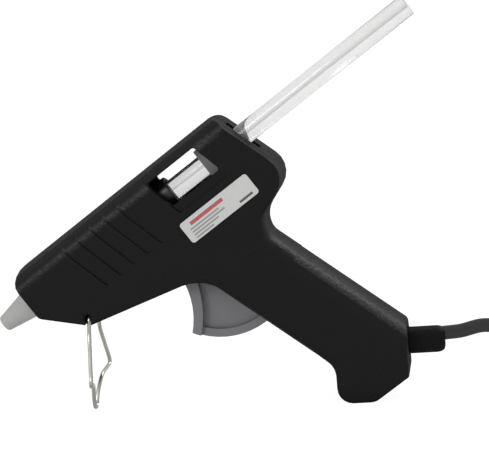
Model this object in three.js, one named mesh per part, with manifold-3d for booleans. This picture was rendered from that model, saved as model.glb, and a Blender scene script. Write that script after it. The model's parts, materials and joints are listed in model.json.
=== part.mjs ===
// Mini hot glue applicator: two moulded shells round a melt chamber, a trigger that pushes the glue stick,
// a folding wire stand, and a flat mains cord put away as a tied hank.
// Lengths are in millimetres. Tool frame: X runs back along the barrel axis from the housing's front face,
// Y runs away from the near side, Z is up from the axis. Bench frame: the same start, with Z upright.
import * as THREE from "three";
import { mergeVertices } from "three/addons/utils/BufferGeometryUtils.js";
import Module from "manifold-3d";

const wasm = await Module();
wasm.setup();

const degrees = THREE.MathUtils.degToRad;

// Stance on the bench
const standTilt = degrees(34.1);
const noseHeight = 37.7;

// Housing
const housingWidth = 22;
const wall = 2;
const seamGap = 0.3;
const fitGap = 0.3;
const runningGap = 0.5;
const overrun = 3;
const barrelTop = 11.1;
const barrelLength = 89.7;
const rake = degrees(17.7);
const noseFront = 0.8;
const chinStart = 5.4;
const chinReach = 12.7;
const chinDepth = 17.4;
const undersideSlope = degrees(14.4);
const gripFront = 42.9;
const gripBack = 68.3;
const neckReach = 76.5;
const neckDepth = 25.3;
const rearFootReach = 95.1;
const rearFootDepth = 18.2;
const heelFrontReach = 98.9;
const heelFlat = 12;
const heelChamfer = 13.8;
const edgeRound = 0.8;
const topRound = 7;
const gripBackRound = 7;
const gripFrontRound = 2.6;
const noseRound = 6;
const mouthDepth = 7;
const chinRound = 2.5;
const chinCornerRound = 1.2;
const triggerFillet = 12.5;
const heelFillet = 6;
const heelRound = 5;
const heelCornerRound = 1.2;
const buttRound = 4;
const neckFillet = 7;
const rearFootRound = 8;
const rearTopRound = 4;

// Glue stick and its path
const stickDiameter = 7.2;
const stickLength = 100;
const stickFront = 56.4;
const stickBore = 8;
const stickSides = 20;

// Nozzle and its silicone cover
const coverReach = 12.5;
const coverTipDiameter = 5.5;
const coverBaseDiameter = 10.2;
const coverLip = 0.8;
const coverNeckDiameter = 9;
const coverTail = 3;
const coverMouthDiameter = 2.6;
const coverMouthDepth = 0.6;
const nozzleTipDiameter = 3.2;
const nozzleBaseDiameter = 6.8;
const nozzleBore = 1.8;
const nozzleFlangeDiameter = 10;
const nozzleFlangeLength = 2.7;
const nozzleThreadDiameter = 6;
const nozzleThreadLength = 6;

// Melt chamber with the heater tunnel below its bore
const chamberDiameter = 12.4;
const chamberLength = 38;
const tunnelStart = 8;
const tunnelLength = 19;
const tunnelWidth = 9.6;
const tunnelHeight = 5.6;
const tunnelWeb = 2;
const tunnelFloor = 1.4;
const tunnelCheek = 1.5;
const spigotDiameter = 9.8;
const spigotLength = 5;
const insulatorWall = 0.4;
const plateThickness = 0.5;
const plateWidth = 7.6;
const heaterThickness = 2;
const heaterWidth = 7;
const heaterLength = 15;
const insulatorLength = 18;
const tabReach = 2;
const tabWidth = 2.4;
const tabOffset = 2;
const crimpDiameter = 1.8;
const crimpLength = 2.6;
const leadDiameter = 1.2;
const leadOffset = 7.95;

// Inlet sleeve and its clamp
const sleeveRear = 60.3;
const sleeveDiameter = 10.8;
const sleeveBore = 7.8;
const sleeveCuffLength = 6;
const sleeveCuffWall = 1.6;
const clampWidth = 2;
const clampThickness = 0.7;

// Feed collar
const collarFront = 74.2;
const collarLength = 11.1;
const collarHeight = 11.4;
const collarWidth = 10.8;
const collarBore = 7.8;
const trunnionDiameter = 2.4;
const trunnionReach = 8.5;
const trunnionStation = 82;
const railThickness = 1.2;
const railInset = 7.7;
const ribDropShare = 0.72;

// Trigger
const pivotStation = 57.8;
const pivotDepth = 26.8;
const rimRadius = 25.2;
const rimThickness = 2.7;
const rimWidth = 6;
const rimStart = degrees(-141.5);
const rimEnd = degrees(-78);
const webThickness = 3;
const padWidth = 9;
const padThickness = 3;
const padStart = degrees(-18);
const padEnd = degrees(-49);
const padLean = 1.2;
const hubDiameter = 8;
const pinDiameter = 3;
const pinLength = 17.2;
const armInset = 5.7;
const armThickness = 1.4;
const forkSlot = 3.5;
const forkRise = 3;
const triggerPull = degrees(20);
const forkCheek = 1.9;
const armWidth = 5;
const elbowStation = 80.6;
const elbowDepth = 12.4;
const barStation = 70;
const barDepth = 18.4;
const barDiameter = 2.4;

// Return spring
const springDiameter = 4;
const springWire = 0.7;
const springCurls = 11;
const springEnd = 2.2;

// Window, label and grooves on the flanks
const windowFront = 58;
const windowLength = 19.8;
const windowTop = 7.9;
const windowBottom = 7;
const windowStep = 1;
const windowSill = 2;
const windowStepDepth = 1;
const windowLedge = 0.2;
const windowRake = degrees(13);
const windowRound = 0.8;
const labelFront = 56.8;
const labelLength = 27.4;
const labelTop = 9.6;
const labelHeight = 7.6;
const labelRound = 1;
const labelThickness = 0.4;
const labelRecess = 0.6;
const grooveCount = 5;
const grooveStart = 23.1;
const groovePitch = 5.7;
const grooveWidth = 1.1;
const grooveDepth = 0.6;
const grooveTop = 9.9;
const grooveBottom = 10.6;
const grooveRake = degrees(14.2);
const grooveFade = 1.4;
const grooveFadeRound = 1;

// Rear inlet
const inletDiameter = 8.8;
const inletSlotHeight = 12.8;
const inletSlotWidth = 4.4;

// Wire stand
const wireDiameter = 1.5;
const standStation = 14;
const standDepth = 14.9;
const standLean = degrees(4.2);
const standSpan = 17.5;
const standStraight = 6.3;
const standShoulder = 21.1;
const standShoulderSpan = 33.8;
const standKink = 2.2;
const standKinkSpan = 14.8;
const standBow = 1.8;
const standStub = 2.1;
const pocketRadius = 9;
const standFold = degrees(80);
const holeRim = 0.5;
const pocketMargin = degrees(6);
const pocketBacking = 1.1;

// Screws
const screwDiameter = 3;
const screwHeadDiameter = 4.6;
const screwHeadHeight = 2;
const screwLength = 14;
const screwHeadSink = 2.4;
const bossDiameter = 5.6;
const seatDiameter = 6.8;
const clampScrewDiameter = 2.2;
const clampScrewHead = 4;
const clampScrewHeadHeight = 1.4;
const clampScrewLength = 5;

// Cord clamp, strain relief, cord and plug
const cordClampLength = 13;
const cordClampWidth = 5;
const cordClampThickness = 2;
const cordClampSpread = 8.6;
const cordExitHeight = 17.5;
const reliefHeight = 8.2;
const reliefWidth = 7;
const reliefReach = 11.5;
const reliefRound = 2.4;
const reliefFlange = 1.1;
const reliefFlangeThickness = 1.6;
const cordLength = 1200;
const cordWidth = 4.6;
const cordThickness = 2.8;
const hankTurns = 6;
const hankPitch = 3.8;
const hankRise = 5.4;
const hankFoldRadius = 17;
const hankDraw = 3.5;
const hankStart = 118;
const tieWidth = 6;
const tieThickness = 1.2;
const plugGap = 12;
const plugStemLength = 9;
const plugStemDiameter = 7;
const plugTaperLength = 13;
const plugBodyLength = 18;
const plugWidth = 35;
const plugThickness = 13.6;
const plugBevel = 2;
const plugPinLength = 19;
const plugPinDiameter = 4;
const plugPinSpread = 18.6;

// Facet counts
const arcSteps = 5;
const roundSteps = 16;
const boreSteps = 20;
const wireSides = 8;
const wireSteps = 64;
const leadSides = 6;
const leadSteps = 40;
const springSides = 5;
const curlSteps = 8;
const cordSides = 10;
const cordLeadSteps = 30;
const cordTailSteps = 16;
const hankSides = 6;
const loopSteps = 24;
const fineSteps = 96;

const half = housingWidth / 2;
const seam = seamGap / 2;

const materials = {
  shell: new THREE.MeshStandardMaterial({ color: 0x1b1b1e, roughness: 0.42, metalness: 0 }),
  trigger: new THREE.MeshStandardMaterial({ color: 0x6d6c74, roughness: 0.5, metalness: 0 }),
  silicone: new THREE.MeshStandardMaterial({ color: 0xa3a3a8, roughness: 0.6, metalness: 0 }),
  rubber: new THREE.MeshStandardMaterial({ color: 0x141414, roughness: 0.55, metalness: 0 }),
  cord: new THREE.MeshStandardMaterial({ color: 0x121214, roughness: 0.3, metalness: 0 }),
  steel: new THREE.MeshStandardMaterial({ color: 0xb9bab8, roughness: 0.3, metalness: 1 }),
  aluminium: new THREE.MeshStandardMaterial({ color: 0xc4c6c8, roughness: 0.4, metalness: 1 }),
  brass: new THREE.MeshStandardMaterial({ color: 0xb79a56, roughness: 0.35, metalness: 1 }),
  ceramic: new THREE.MeshStandardMaterial({ color: 0x6a6a68, roughness: 0.7, metalness: 0 }),
  film: new THREE.MeshStandardMaterial({ color: 0xb8782a, roughness: 0.4, metalness: 0 }),
  glue: new THREE.MeshStandardMaterial({ color: 0xe6e6e2, roughness: 0.25, metalness: 0 }),
  label: new THREE.MeshStandardMaterial({ color: 0xc9cbc6, roughness: 0.5, metalness: 0 }),
  lead: new THREE.MeshStandardMaterial({ color: 0x8a4a2a, roughness: 0.5, metalness: 0 }),
};

const tool = new THREE.Group();
const bench = new THREE.Group();

// Solids: a closed geometry becomes a solid that can be joined and cut.
function solid(geometry) {
  const bare = geometry.clone();
  bare.deleteAttribute("normal");
  bare.deleteAttribute("uv");
  const merged = mergeVertices(bare);
  const vertProperties = new Float32Array(merged.attributes.position.array);
  const triVerts = new Uint32Array(merged.index.array);
  return new wasm.Manifold(new wasm.Mesh({ numProp: 3, vertProperties, triVerts }));
}

function geometryOf(body) {
  const mesh = body.getMesh();
  const geometry = new THREE.BufferGeometry();
  geometry.setAttribute("position", new THREE.BufferAttribute(new Float32Array(mesh.vertProperties), 3));
  geometry.setIndex(new THREE.BufferAttribute(new Uint32Array(mesh.triVerts), 1));
  geometry.computeVertexNormals();
  return geometry;
}

function addPart(name, shape, material, group = tool) {
  const geometry = shape.isBufferGeometry ? shape : geometryOf(shape);
  const mesh = new THREE.Mesh(geometry, material);
  mesh.name = name;
  group.add(mesh);
  return mesh;
}

function join(bodies) {
  return bodies.reduce((sum, body) => sum.add(body));
}

// An outline is a list of corners [x, z, radius], in order. Each corner is rounded by an arc.
function roundedShape(corners) {
  const shape = new THREE.Shape();
  corners.forEach(([x, z, radius], i) => {
    const [px, pz] = corners[(i + corners.length - 1) % corners.length];
    const [nx, nz] = corners[(i + 1) % corners.length];
    const here = new THREE.Vector2(x, z);
    const back = new THREE.Vector2(px, pz).sub(here).normalize();
    const ahead = new THREE.Vector2(nx, nz).sub(here).normalize();
    const halfAngle = Math.acos(THREE.MathUtils.clamp(back.dot(ahead), -1, 1)) / 2;
    if (radius <= 0) {
      i === 0 ? shape.moveTo(x, z) : shape.lineTo(x, z);
      return;
    }
    const reach = radius / Math.tan(halfAngle);
    const start = here.clone().addScaledVector(back, reach);
    const middle = back.clone().add(ahead).normalize();
    const centre = here.clone().addScaledVector(middle, radius / Math.sin(halfAngle));
    const end = here.clone().addScaledVector(ahead, reach);
    const from = Math.atan2(start.y - centre.y, start.x - centre.x);
    let sweep = Math.atan2(end.y - centre.y, end.x - centre.x) - from;
    sweep = Math.atan2(Math.sin(sweep), Math.cos(sweep));
    for (let k = 0; k <= arcSteps; k += 1) {
      const angle = from + (sweep * k) / arcSteps;
      const qx = centre.x + radius * Math.cos(angle);
      const qz = centre.y + radius * Math.sin(angle);
      i === 0 && k === 0 ? shape.moveTo(qx, qz) : shape.lineTo(qx, qz);
    }
  });
  return shape;
}

// The same outline moved inwards: sides move by the distance, and the radii follow.
function insetCorners(corners, distance) {
  const count = corners.length;
  const sides = corners.map(([x, z], i) => {
    const [nx, nz] = corners[(i + 1) % count];
    const along = new THREE.Vector2(nx - x, nz - z).normalize();
    const inward = new THREE.Vector2(-along.y, along.x);
    return { point: new THREE.Vector2(x, z).addScaledVector(inward, distance), along };
  });
  return corners.map(([, , radius], i) => {
    const before = sides[(i + count - 1) % count];
    const after = sides[i];
    const cross = before.along.x * after.along.y - before.along.y * after.along.x;
    const between = after.point.clone().sub(before.point);
    const reach = (between.x * after.along.y - between.y * after.along.x) / cross;
    const corner = before.point.clone().addScaledVector(before.along, reach);
    const convex = cross > 0;
    return [corner.x, corner.y, Math.max(convex ? radius - distance : radius + distance, 0)];
  });
}

function meet([ax, az], aAngle, [bx, bz], bAngle) {
  const cross = Math.cos(aAngle) * Math.sin(bAngle) - Math.sin(aAngle) * Math.cos(bAngle);
  const reach = ((bx - ax) * Math.sin(bAngle) - (bz - az) * Math.cos(bAngle)) / cross;
  return [ax + reach * Math.cos(aAngle), az + reach * Math.sin(aAngle)];
}

function fromBench(x, z) {
  const cos = Math.cos(standTilt);
  const sin = Math.sin(standTilt);
  return [x * cos + z * sin, z * cos - x * sin];
}

// A side outline made solid between two depths, with an optional bevel on both faces.
function slab(shape, yFrom, yTo, bevel = 0) {
  const geometry = new THREE.ExtrudeGeometry(shape, {
    depth: yTo - yFrom - 2 * bevel,
    bevelEnabled: bevel > 0,
    bevelThickness: bevel,
    bevelSize: bevel,
    bevelOffset: -bevel,
    bevelSegments: 2,
    curveSegments: arcSteps,
  });
  geometry.rotateX(Math.PI / 2);
  geometry.translate(0, yTo - bevel, 0);
  return solid(geometry);
}

function polygonSlab(points, yFrom, yTo) {
  const shape = new THREE.Shape(points.map(([x, z]) => new THREE.Vector2(x, z)));
  return slab(shape, yFrom, yTo);
}

function block(x0, x1, y0, y1, z0, z1) {
  const geometry = new THREE.BoxGeometry(x1 - x0, y1 - y0, z1 - z0);
  geometry.translate((x0 + x1) / 2, (y0 + y1) / 2, (z0 + z1) / 2);
  return solid(geometry);
}

// A cylinder across the tool, from one depth to another.
function crossRod(x, z, diameter, yFrom, yTo, steps = roundSteps) {
  const geometry = new THREE.CylinderGeometry(diameter / 2, diameter / 2, yTo - yFrom, steps);
  geometry.translate(x, (yFrom + yTo) / 2, z);
  return solid(geometry);
}

// A turned piece along the barrel axis: pairs of station and radius.
function turned(profile, steps = boreSteps) {
  const points = profile.map(([x, radius]) => new THREE.Vector2(radius, x));
  const geometry = new THREE.LatheGeometry([...points, points[0]], steps);
  geometry.rotateZ(-Math.PI / 2);
  return solid(geometry);
}

function barrelRod(x0, x1, diameter, steps = boreSteps) {
  const geometry = new THREE.CylinderGeometry(diameter / 2, diameter / 2, x1 - x0, steps);
  geometry.rotateZ(Math.PI / 2);
  geometry.translate((x0 + x1) / 2, 0, 0);
  return solid(geometry);
}

// Housing outline, from the lower front corner round the underside, grip and heel to the nose.
const gripLine = -Math.PI / 2 + rake;
const underLine = -undersideSlope;
const chin = [chinReach, -chinDepth];
const triggerCorner = meet(chin, underLine, [gripFront, 0], gripLine);
const uprightLine = Math.PI / 2 - standTilt;
const heelFront = fromBench(heelFrontReach, -noseHeight);
const heelTop = meet([gripFront, 0], gripLine, heelFront, uprightLine);
const heelBack = fromBench(heelFrontReach + heelFlat, -noseHeight);
const heelDepth = -heelBack[1];
const buttFoot = [heelBack[0] + heelChamfer, -heelDepth];
const buttReach = buttFoot[0] * Math.cos(standTilt) - buttFoot[1] * Math.sin(standTilt);
const buttTop = meet(buttFoot, uprightLine, [gripBack, 0], gripLine);
const neck = [neckReach, -neckDepth];
const rearFoot = [rearFootReach, -rearFootDepth];
const rearTop = [barrelLength - barrelTop * Math.tan(rake), barrelTop];

const outline = [
  [noseFront, -chinStart, chinRound],
  [...chin, chinCornerRound],
  [...triggerCorner, triggerFillet],
  [...heelTop, heelFillet],
  [...heelFront, heelRound],
  [...heelBack, heelRound],
  [...buttFoot, heelCornerRound],
  [...buttTop, buttRound],
  [...neck, neckFillet],
  [...rearFoot, rearFootRound],
  [...rearTop, rearTopRound],
  [noseFront, barrelTop, noseRound],
];

// The section across the barrel has a round top, and the section across the grip a round back.
function barrelPrism(inset, top = barrelTop - inset, round = topRound - inset) {
  const w = half - inset;
  const low = -neckDepth - overrun;
  const section = roundedShape([[-w, low, 0], [w, low, 0], [w, top, round], [-w, top, round]]);
  const length = barrelLength + rearFootDepth + 2 * overrun;
  const geometry = new THREE.ExtrudeGeometry(section, { depth: length, bevelEnabled: false });
  geometry.rotateX(Math.PI / 2);
  geometry.rotateZ(Math.PI / 2);
  geometry.translate(-overrun, 0, 0);
  return solid(geometry);
}

function gripPrism(inset) {
  const w = half - inset;
  const front = -overrun - heelFrontReach;
  const back = (gripBack - gripFront) * Math.cos(rake) - inset;
  const frontFace = inset;
  const length = (buttFoot[0] - gripFront) * Math.sin(rake) - buttFoot[1] * Math.cos(rake) + overrun;
  const upper = roundedShape([
    [frontFace, -w, gripFrontRound],
    [back, -w, gripBackRound - inset],
    [back, w, gripBackRound - inset],
    [frontFace, w, gripFrontRound],
  ]);
  const foot = roundedShape([
    [front, -w, 0],
    [back, -w, gripBackRound - inset],
    [back, w, gripBackRound - inset],
    [front, w, 0],
  ]);
  const footStart = -heelTop[1] / Math.cos(rake) - heelFillet;
  const place = (shape, from, to) => {
    const geometry = new THREE.ExtrudeGeometry(shape, { depth: to - from, bevelEnabled: false });
    geometry.translate(0, 0, -to);
    geometry.rotateY(-rake);
    geometry.translate(gripFront, 0, 0);
    return solid(geometry);
  };
  const start = neckDepth - 2 * overrun;
  return place(upper, start, length).add(place(foot, footStart, length));
}

function bodyForm(inset, bevel) {
  const corners = inset > 0 ? insetCorners(outline, inset) : outline;
  const profile = slab(roundedShape(corners), -half + inset, half - inset, bevel);
  return profile.intersect(barrelPrism(inset).add(gripPrism(inset)));
}

const outerForm = bodyForm(0, edgeRound);
const innerForm = bodyForm(wall, 0);

function halfSpace(side) {
  const far = half + overrun;
  const y0 = side < 0 ? -far : seam;
  const y1 = side < 0 ? -seam : far;
  return block(-coverReach, buttReach, y0, y1, -heelDepth - coverReach, barrelTop + overrun);
}

// Places that several pieces share.
const chamberStart = coverTail + nozzleFlangeLength + 2 * fitGap;
const chamberEnd = chamberStart + chamberLength;
const tunnelTop = -stickBore / 2 - tunnelWeb;
const tunnelBottom = tunnelTop - tunnelHeight;
const tunnelFront = chamberStart + tunnelStart;
const tunnelRear = tunnelFront + tunnelLength;
const pivot = [pivotStation, -pivotDepth];
const standPivot = [standStation, -standDepth];
const forkHalf = forkSlot / 2 + forkCheek;
const benchLevel = (x, z) => z * Math.cos(standTilt) + x * Math.sin(standTilt);
const standHeight = noseHeight + benchLevel(...standPivot);
const standLength = standHeight / Math.cos(standLean);
const standAngle = -Math.PI / 2 - standLean - standTilt;
const cordAxis = -noseHeight + cordExitHeight;

// Screw places on the side view: belly, back end, upper grip and lower grip.
const screwPlaces = [
  [tunnelRear + seatDiameter * 0.7, tunnelBottom - tunnelFloor - seatDiameter * 0.66],
  [trunnionStation + forkHalf + runningGap + seatDiameter / 2, -elbowDepth - seatDiameter * 0.28],
  [neckReach - runningGap, -neckDepth - 2.3 * bossDiameter],
  [neckReach + seatDiameter * 0.63, -heelDepth * 0.665],
];

function circlePoints([x, z], radius, from, to, steps) {
  return Array.from({ length: steps + 1 }, (_, k) => {
    const angle = from + ((to - from) * k) / steps;
    return [x + radius * Math.cos(angle), z + radius * Math.sin(angle)];
  });
}

// Window: a slanted opening through both flanks, stepped in all round.
function windowSlab(top, bottom, ledge, yFrom, yTo) {
  const lean = Math.tan(windowRake);
  const front = windowFront + ledge;
  const rear = windowFront + windowLength - ledge;
  const shape = roundedShape([
    [front + bottom * lean, -bottom, windowRound],
    [rear + bottom * lean, -bottom, windowRound],
    [rear - top * lean, top, windowRound],
    [front - top * lean, top, windowRound],
  ]);
  return slab(shape, yFrom, yTo);
}

function windowCut(across) {
  const outer = windowSlab(windowTop, windowBottom, 0, ...across(half - windowStepDepth, half + overrun));
  const lintel = windowTop - windowStep;
  const sill = windowBottom - windowSill;
  return outer.add(windowSlab(lintel, sill, windowLedge, ...across(half / 2, half)));
}

// Grooves follow the flank to one depth. Their floor rises through the round of the top, so they fade out.
function grooveCuts() {
  const lean = Math.tan(grooveRake);
  const bars = Array.from({ length: grooveCount }, (_, k) => {
    const x = grooveStart + k * groovePitch;
    const top = x - grooveTop * lean;
    const bottom = x + grooveBottom * lean;
    const lower = [[bottom, -grooveBottom], [bottom + grooveWidth, -grooveBottom]];
    const upper = [[top + grooveWidth, grooveTop], [top, grooveTop]];
    return polygonSlab([...lower, ...upper], -half - overrun, half + overrun);
  });
  return join(bars).subtract(barrelPrism(grooveDepth, barrelTop + grooveFade, topRound + grooveFadeRound));
}

// The pocket that a leg of the stand swings in. The flank's skin hides it, apart from a notch for the leg
// at rest and the countersunk hole at its top.
function standPocket(across) {
  const floor = standSpan / 2 - wireDiameter / 2 - fitGap;
  const skin = standSpan / 2 + wireDiameter / 2 + fitGap;
  const open = half + overrun;
  const w = wireDiameter / 2 + fitGap;
  const channel = (angle, outer) => {
    const corners = [[0, -w], [pocketRadius, -w], [pocketRadius, w], [0, w]];
    const points = corners.map(([reach, aside]) => [
      standStation + reach * Math.cos(angle) - aside * Math.sin(angle),
      -standDepth + reach * Math.sin(angle) + aside * Math.cos(angle),
    ]);
    return polygonSlab(points, ...across(floor, outer));
  };
  const from = standAngle - pocketMargin;
  const to = standAngle + standFold + pocketMargin;
  const fan = [standPivot, ...circlePoints(standPivot, pocketRadius, from, to, 2 * arcSteps)];
  const rim = crossRod(...standPivot, 2 * (w + holeRim), ...across(half - holeRim, open));
  const hole = crossRod(...standPivot, 2 * w, ...across(floor, open));
  const swing = polygonSlab(fan, ...across(floor, skin));
  return join([swing, hole, rim, channel(standAngle, open), channel(standAngle + standFold, skin)]);
}

function shell(side) {
  const across = (a, b) => (side < 0 ? [-b, -a] : [a, b]);
  const pocketFloor = standSpan / 2 - wireDiameter / 2 - fitGap;
  const inside = [];
  const backing = across(pocketFloor - pocketBacking, half);
  inside.push(crossRod(...standPivot, 2 * (pocketRadius + pocketBacking), ...backing, boreSteps));
  screwPlaces.forEach(([x, z]) => inside.push(crossRod(x, z, bossDiameter, ...across(0, half))));
  inside.push(crossRod(...pivot, hubDiameter, ...across(armInset + armThickness + fitGap, half)));
  const ribs = [
    [chamberStart + railThickness, chamberDiameter],
    [sleeveRear - 8 * railThickness, sleeveDiameter],
  ];
  ribs.forEach(([x, diameter]) => {
    const drop = -chamberDiameter * ribDropShare;
    const rib = block(x, x + railThickness, ...across(0, half), drop, barrelTop);
    inside.push(rib.subtract(barrelRod(x - overrun, x + overrun, diameter + 2 * fitGap)));
  });
  const railBase = trunnionDiameter / 2 + fitGap;
  const railFront = windowFront + windowLength;
  const railRear = collarFront + collarLength - fitGap;
  [[railBase, railBase + railThickness], [-railBase - railThickness, -railBase]].forEach(([z0, z1]) => {
    inside.push(block(railFront, railRear, ...across(railInset, half), z0, z1));
  });
  const screwFloor = half - screwHeadSink - screwHeadHeight - 2 * fitGap - wall / 2;
  if (side > 0) {
    screwPlaces.forEach(([x, z]) => inside.push(crossRod(x, z, seatDiameter, screwFloor, half)));
    clampPlaces.forEach((place) => inside.push(crossRod(...place, clampScrewHead, 0, half)));
    inside.push(clampSaddle());
  }
  const cavity = innerForm.subtract(join(inside));
  const body = outerForm.subtract(cavity).intersect(halfSpace(side));

  const cuts = [windowCut(across), standPocket(across), grooveCuts()];
  const stubHole = across(standSpan / 2 - standStub - 2 * fitGap, half);
  cuts.push(crossRod(...standPivot, wireDiameter + 2 * fitGap, ...stubHole));
  cuts.push(barrelRod(-overrun, mouthDepth, coverNeckDiameter + 2 * fitGap));
  const inletFront = barrelLength - mouthDepth;
  const inletRear = rearFootReach + overrun;
  const slotHalf = inletSlotHeight / 2;
  cuts.push(barrelRod(inletFront, inletRear, inletDiameter));
  cuts.push(block(inletFront, inletRear, -inletSlotWidth / 2, inletSlotWidth / 2, -slotHalf, slotHalf));
  const triggerSlot = [
    ...circlePoints(pivot, rimRadius + runningGap, rimStart, rimEnd, 2 * arcSteps),
    [pivotStation + hubDiameter / 2, -pivotDepth],
    [padTop[0] - padLean - runningGap, -pivotDepth + overrun],
  ];
  cuts.push(polygonSlab(triggerSlot, -padWidth / 2 - runningGap, padWidth / 2 + runningGap));
  const hubSpace = across(armInset - fitGap, armInset + armThickness + fitGap);
  cuts.push(crossRod(...pivot, hubDiameter + 2 * fitGap, ...hubSpace));
  const pinHole = across(armInset, pinLength / 2 + fitGap);
  cuts.push(crossRod(...pivot, pinDiameter + 2 * fitGap, ...pinHole));
  cuts.push(reliefNeck(fitGap));
  if (side < 0) {
    screwPlaces.forEach(([x, z]) => {
      const reach = screwLength - half + screwHeadSink + fitGap;
      cuts.push(crossRod(x, z, screwDiameter + 2 * fitGap, -reach, 0));
    });
    cuts.push(labelSlab(fitGap, half - labelRecess, half + overrun));
  } else {
    screwPlaces.forEach(([x, z]) => {
      cuts.push(crossRod(x, z, screwDiameter + 2 * fitGap, -overrun, half + overrun));
      const seat = half - screwHeadSink - screwHeadHeight - fitGap;
      cuts.push(crossRod(x, z, screwHeadDiameter + 2 * fitGap, seat, half + overrun));
    });
    clampPlaces.forEach((place) => {
      cuts.push(crossRod(...place, clampScrewDiameter + 2 * fitGap, -overrun, clampScrewLength));
    });
  }
  return body.subtract(join(cuts));
}

// Pieces that stand square to the bench at the cord's end of the grip.
function benchBlock(x0, x1, y0, y1, z0, z1) {
  const points = [[x0, z0], [x1, z0], [x1, z1], [x0, z1]].map(([x, z]) => fromBench(x, z));
  return polygonSlab(points, y0, y1);
}

function reliefNeck(margin) {
  const h = reliefHeight / 2 - reliefFlange / 4 + margin;
  const w = reliefWidth / 2 - reliefFlange / 4 + margin;
  return benchBlock(buttReach - wall - 2 * fitGap, buttReach + overrun, -w, w, cordAxis - h, cordAxis + h);
}

const clampCentre = buttReach - wall - 2 * cordClampWidth;
const clampPlaces = [-1, 1].map((side) => fromBench(clampCentre, cordAxis + (side * cordClampSpread) / 2));

function clampSaddle() {
  const h = cordClampSpread / 2 - clampScrewHead / 2;
  const w = cordClampWidth / 2;
  const y0 = leadDiameter / 2 + fitGap;
  return benchBlock(clampCentre - w, clampCentre + w, y0, half, cordAxis - h, cordAxis + h);
}

function labelSlab(margin, y0, y1) {
  const front = labelFront - margin;
  const rear = labelFront + labelLength + margin;
  const top = -labelTop + margin;
  const bottom = -labelTop - labelHeight - margin;
  const round = labelRound + margin;
  const lower = [[front, bottom, round], [rear, bottom, round]];
  const upper = [[rear, top, round], [front, top, round]];
  return slab(roundedShape([...lower, ...upper]), -y1, -y0);
}

// Trigger: pad concentric with the stand's swing, rim concentric with the pivot, a thin web, and two arms
// that reach past the stick to the collar's trunnions.
const padFrontRadius = standLength + runningGap;
const padTop = circlePoints(standPivot, padFrontRadius, padStart, padEnd, 1)[0];

function triggerPiece() {
  const bow = circlePoints(standPivot, padFrontRadius, padStart, padEnd, arcSteps + 1);
  const front = bow.map(([x, z], i) => [x - padLean * (1 - i / (arcSteps + 1)) ** 2, z]);
  const back = circlePoints(standPivot, padFrontRadius + padThickness, padEnd, padStart, arcSteps + 1);
  const pad = polygonSlab([...front, ...back].reverse(), -padWidth / 2, padWidth / 2);
  const rimOuter = circlePoints(pivot, rimRadius, rimStart, rimEnd, 2 * arcSteps);
  const rimInner = circlePoints(pivot, rimRadius - rimThickness, rimEnd, rimStart, 2 * arcSteps);
  const rim = polygonSlab([...rimOuter, ...rimInner], -rimWidth / 2, rimWidth / 2);
  const webEdge = circlePoints(pivot, rimRadius - rimThickness / 2, rimStart, rimEnd, 2 * arcSteps);
  const webTop = circlePoints(standPivot, padFrontRadius + padThickness / 2, padStart, padStart, 1)[0];
  const hubSide = [pivotStation + hubDiameter / 3, -pivotDepth];
  const hubTop = [pivotStation, -pivotDepth + hubDiameter / 3];
  const web = polygonSlab([...webEdge, hubSide, hubTop, webTop], -webThickness / 2, webThickness / 2);
  const swing = crossRod(...pivot, 2 * rimRadius, -padWidth, padWidth, 4 * boreSteps);
  const armOuter = armInset + armThickness;
  const hub = crossRod(...pivot, hubDiameter, -armOuter, armOuter);
  const arms = [-1, 1].map((side) => {
    const y0 = side < 0 ? -armOuter : armInset;
    return forkArm(y0, y0 + armThickness);
  });
  const armMiddle = armInset + armThickness / 2;
  const bar = crossRod(barStation, -barDepth, barDiameter, -armMiddle, armMiddle);
  const body = join([pad.intersect(swing), rim, web, hub, ...arms, bar]);
  return body.subtract(crossRod(...pivot, pinDiameter + 2 * fitGap, -half, half));
}

function forkArm(y0, y1) {
  const run = new THREE.Vector2(elbowStation - pivotStation, pivotDepth - elbowDepth).normalize();
  const w = armWidth / 2;
  const side = [-run.y * w, run.x * w];
  const strut = polygonSlab([
    [pivotStation - side[0], -pivotDepth - side[1]],
    [elbowStation - side[0], -elbowDepth - side[1]],
    [elbowStation + side[0], -elbowDepth + side[1]],
    [pivotStation + side[0], -pivotDepth + side[1]],
  ], y0, y1);
  const tinesFloor = -elbowDepth - w / 2;
  const tines = block(trunnionStation - forkHalf, trunnionStation + forkHalf, y0, y1, tinesFloor, forkRise);
  const slotFront = trunnionStation - forkSlot / 2;
  const reach = trunnionStation - pivotStation;
  const sunk = (pivotDepth - reach * Math.sin(triggerPull)) / Math.cos(triggerPull) - pivotDepth;
  const slotFloor = sunk - trunnionDiameter / 2 - runningGap;
  const across = [y0 - overrun, y1 + overrun];
  const slot = block(slotFront, slotFront + forkSlot, ...across, slotFloor, forkRise + overrun);
  return strut.add(tines).subtract(slot.add(roofOverFork(...across)));
}

// What the fork leaves free so that it passes under the housing's rounded top at full pull.
function roofOverFork(y0, y1) {
  const aside = armInset + armThickness - (half - topRound);
  const roof = barrelTop - topRound + Math.sqrt((topRound - wall) ** 2 - aside ** 2) - runningGap;
  const cos = Math.cos(triggerPull);
  const sin = Math.sin(triggerPull);
  const above = pivotDepth + roof;
  const tall = above + elbowStation;
  const points = [[0, above], [elbowStation, above], [elbowStation, tall], [0, tall]].map(([x, z]) => {
    return [pivotStation + x * cos + z * sin, -pivotDepth - x * sin + z * cos];
  });
  return polygonSlab(points, y0, y1);
}

// Feed collar: a block that slides on the stick, with a trunnion on each side.
function collarPiece() {
  const w = collarWidth / 2;
  const h = collarHeight / 2;
  const body = block(collarFront, collarFront + collarLength, -w, w, -h, h);
  const trunnion = crossRod(trunnionStation, 0, trunnionDiameter, -trunnionReach, trunnionReach);
  const bore = barrelRod(collarFront - overrun, collarFront + collarLength + overrun, collarBore);
  return body.add(trunnion).subtract(bore);
}

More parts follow.
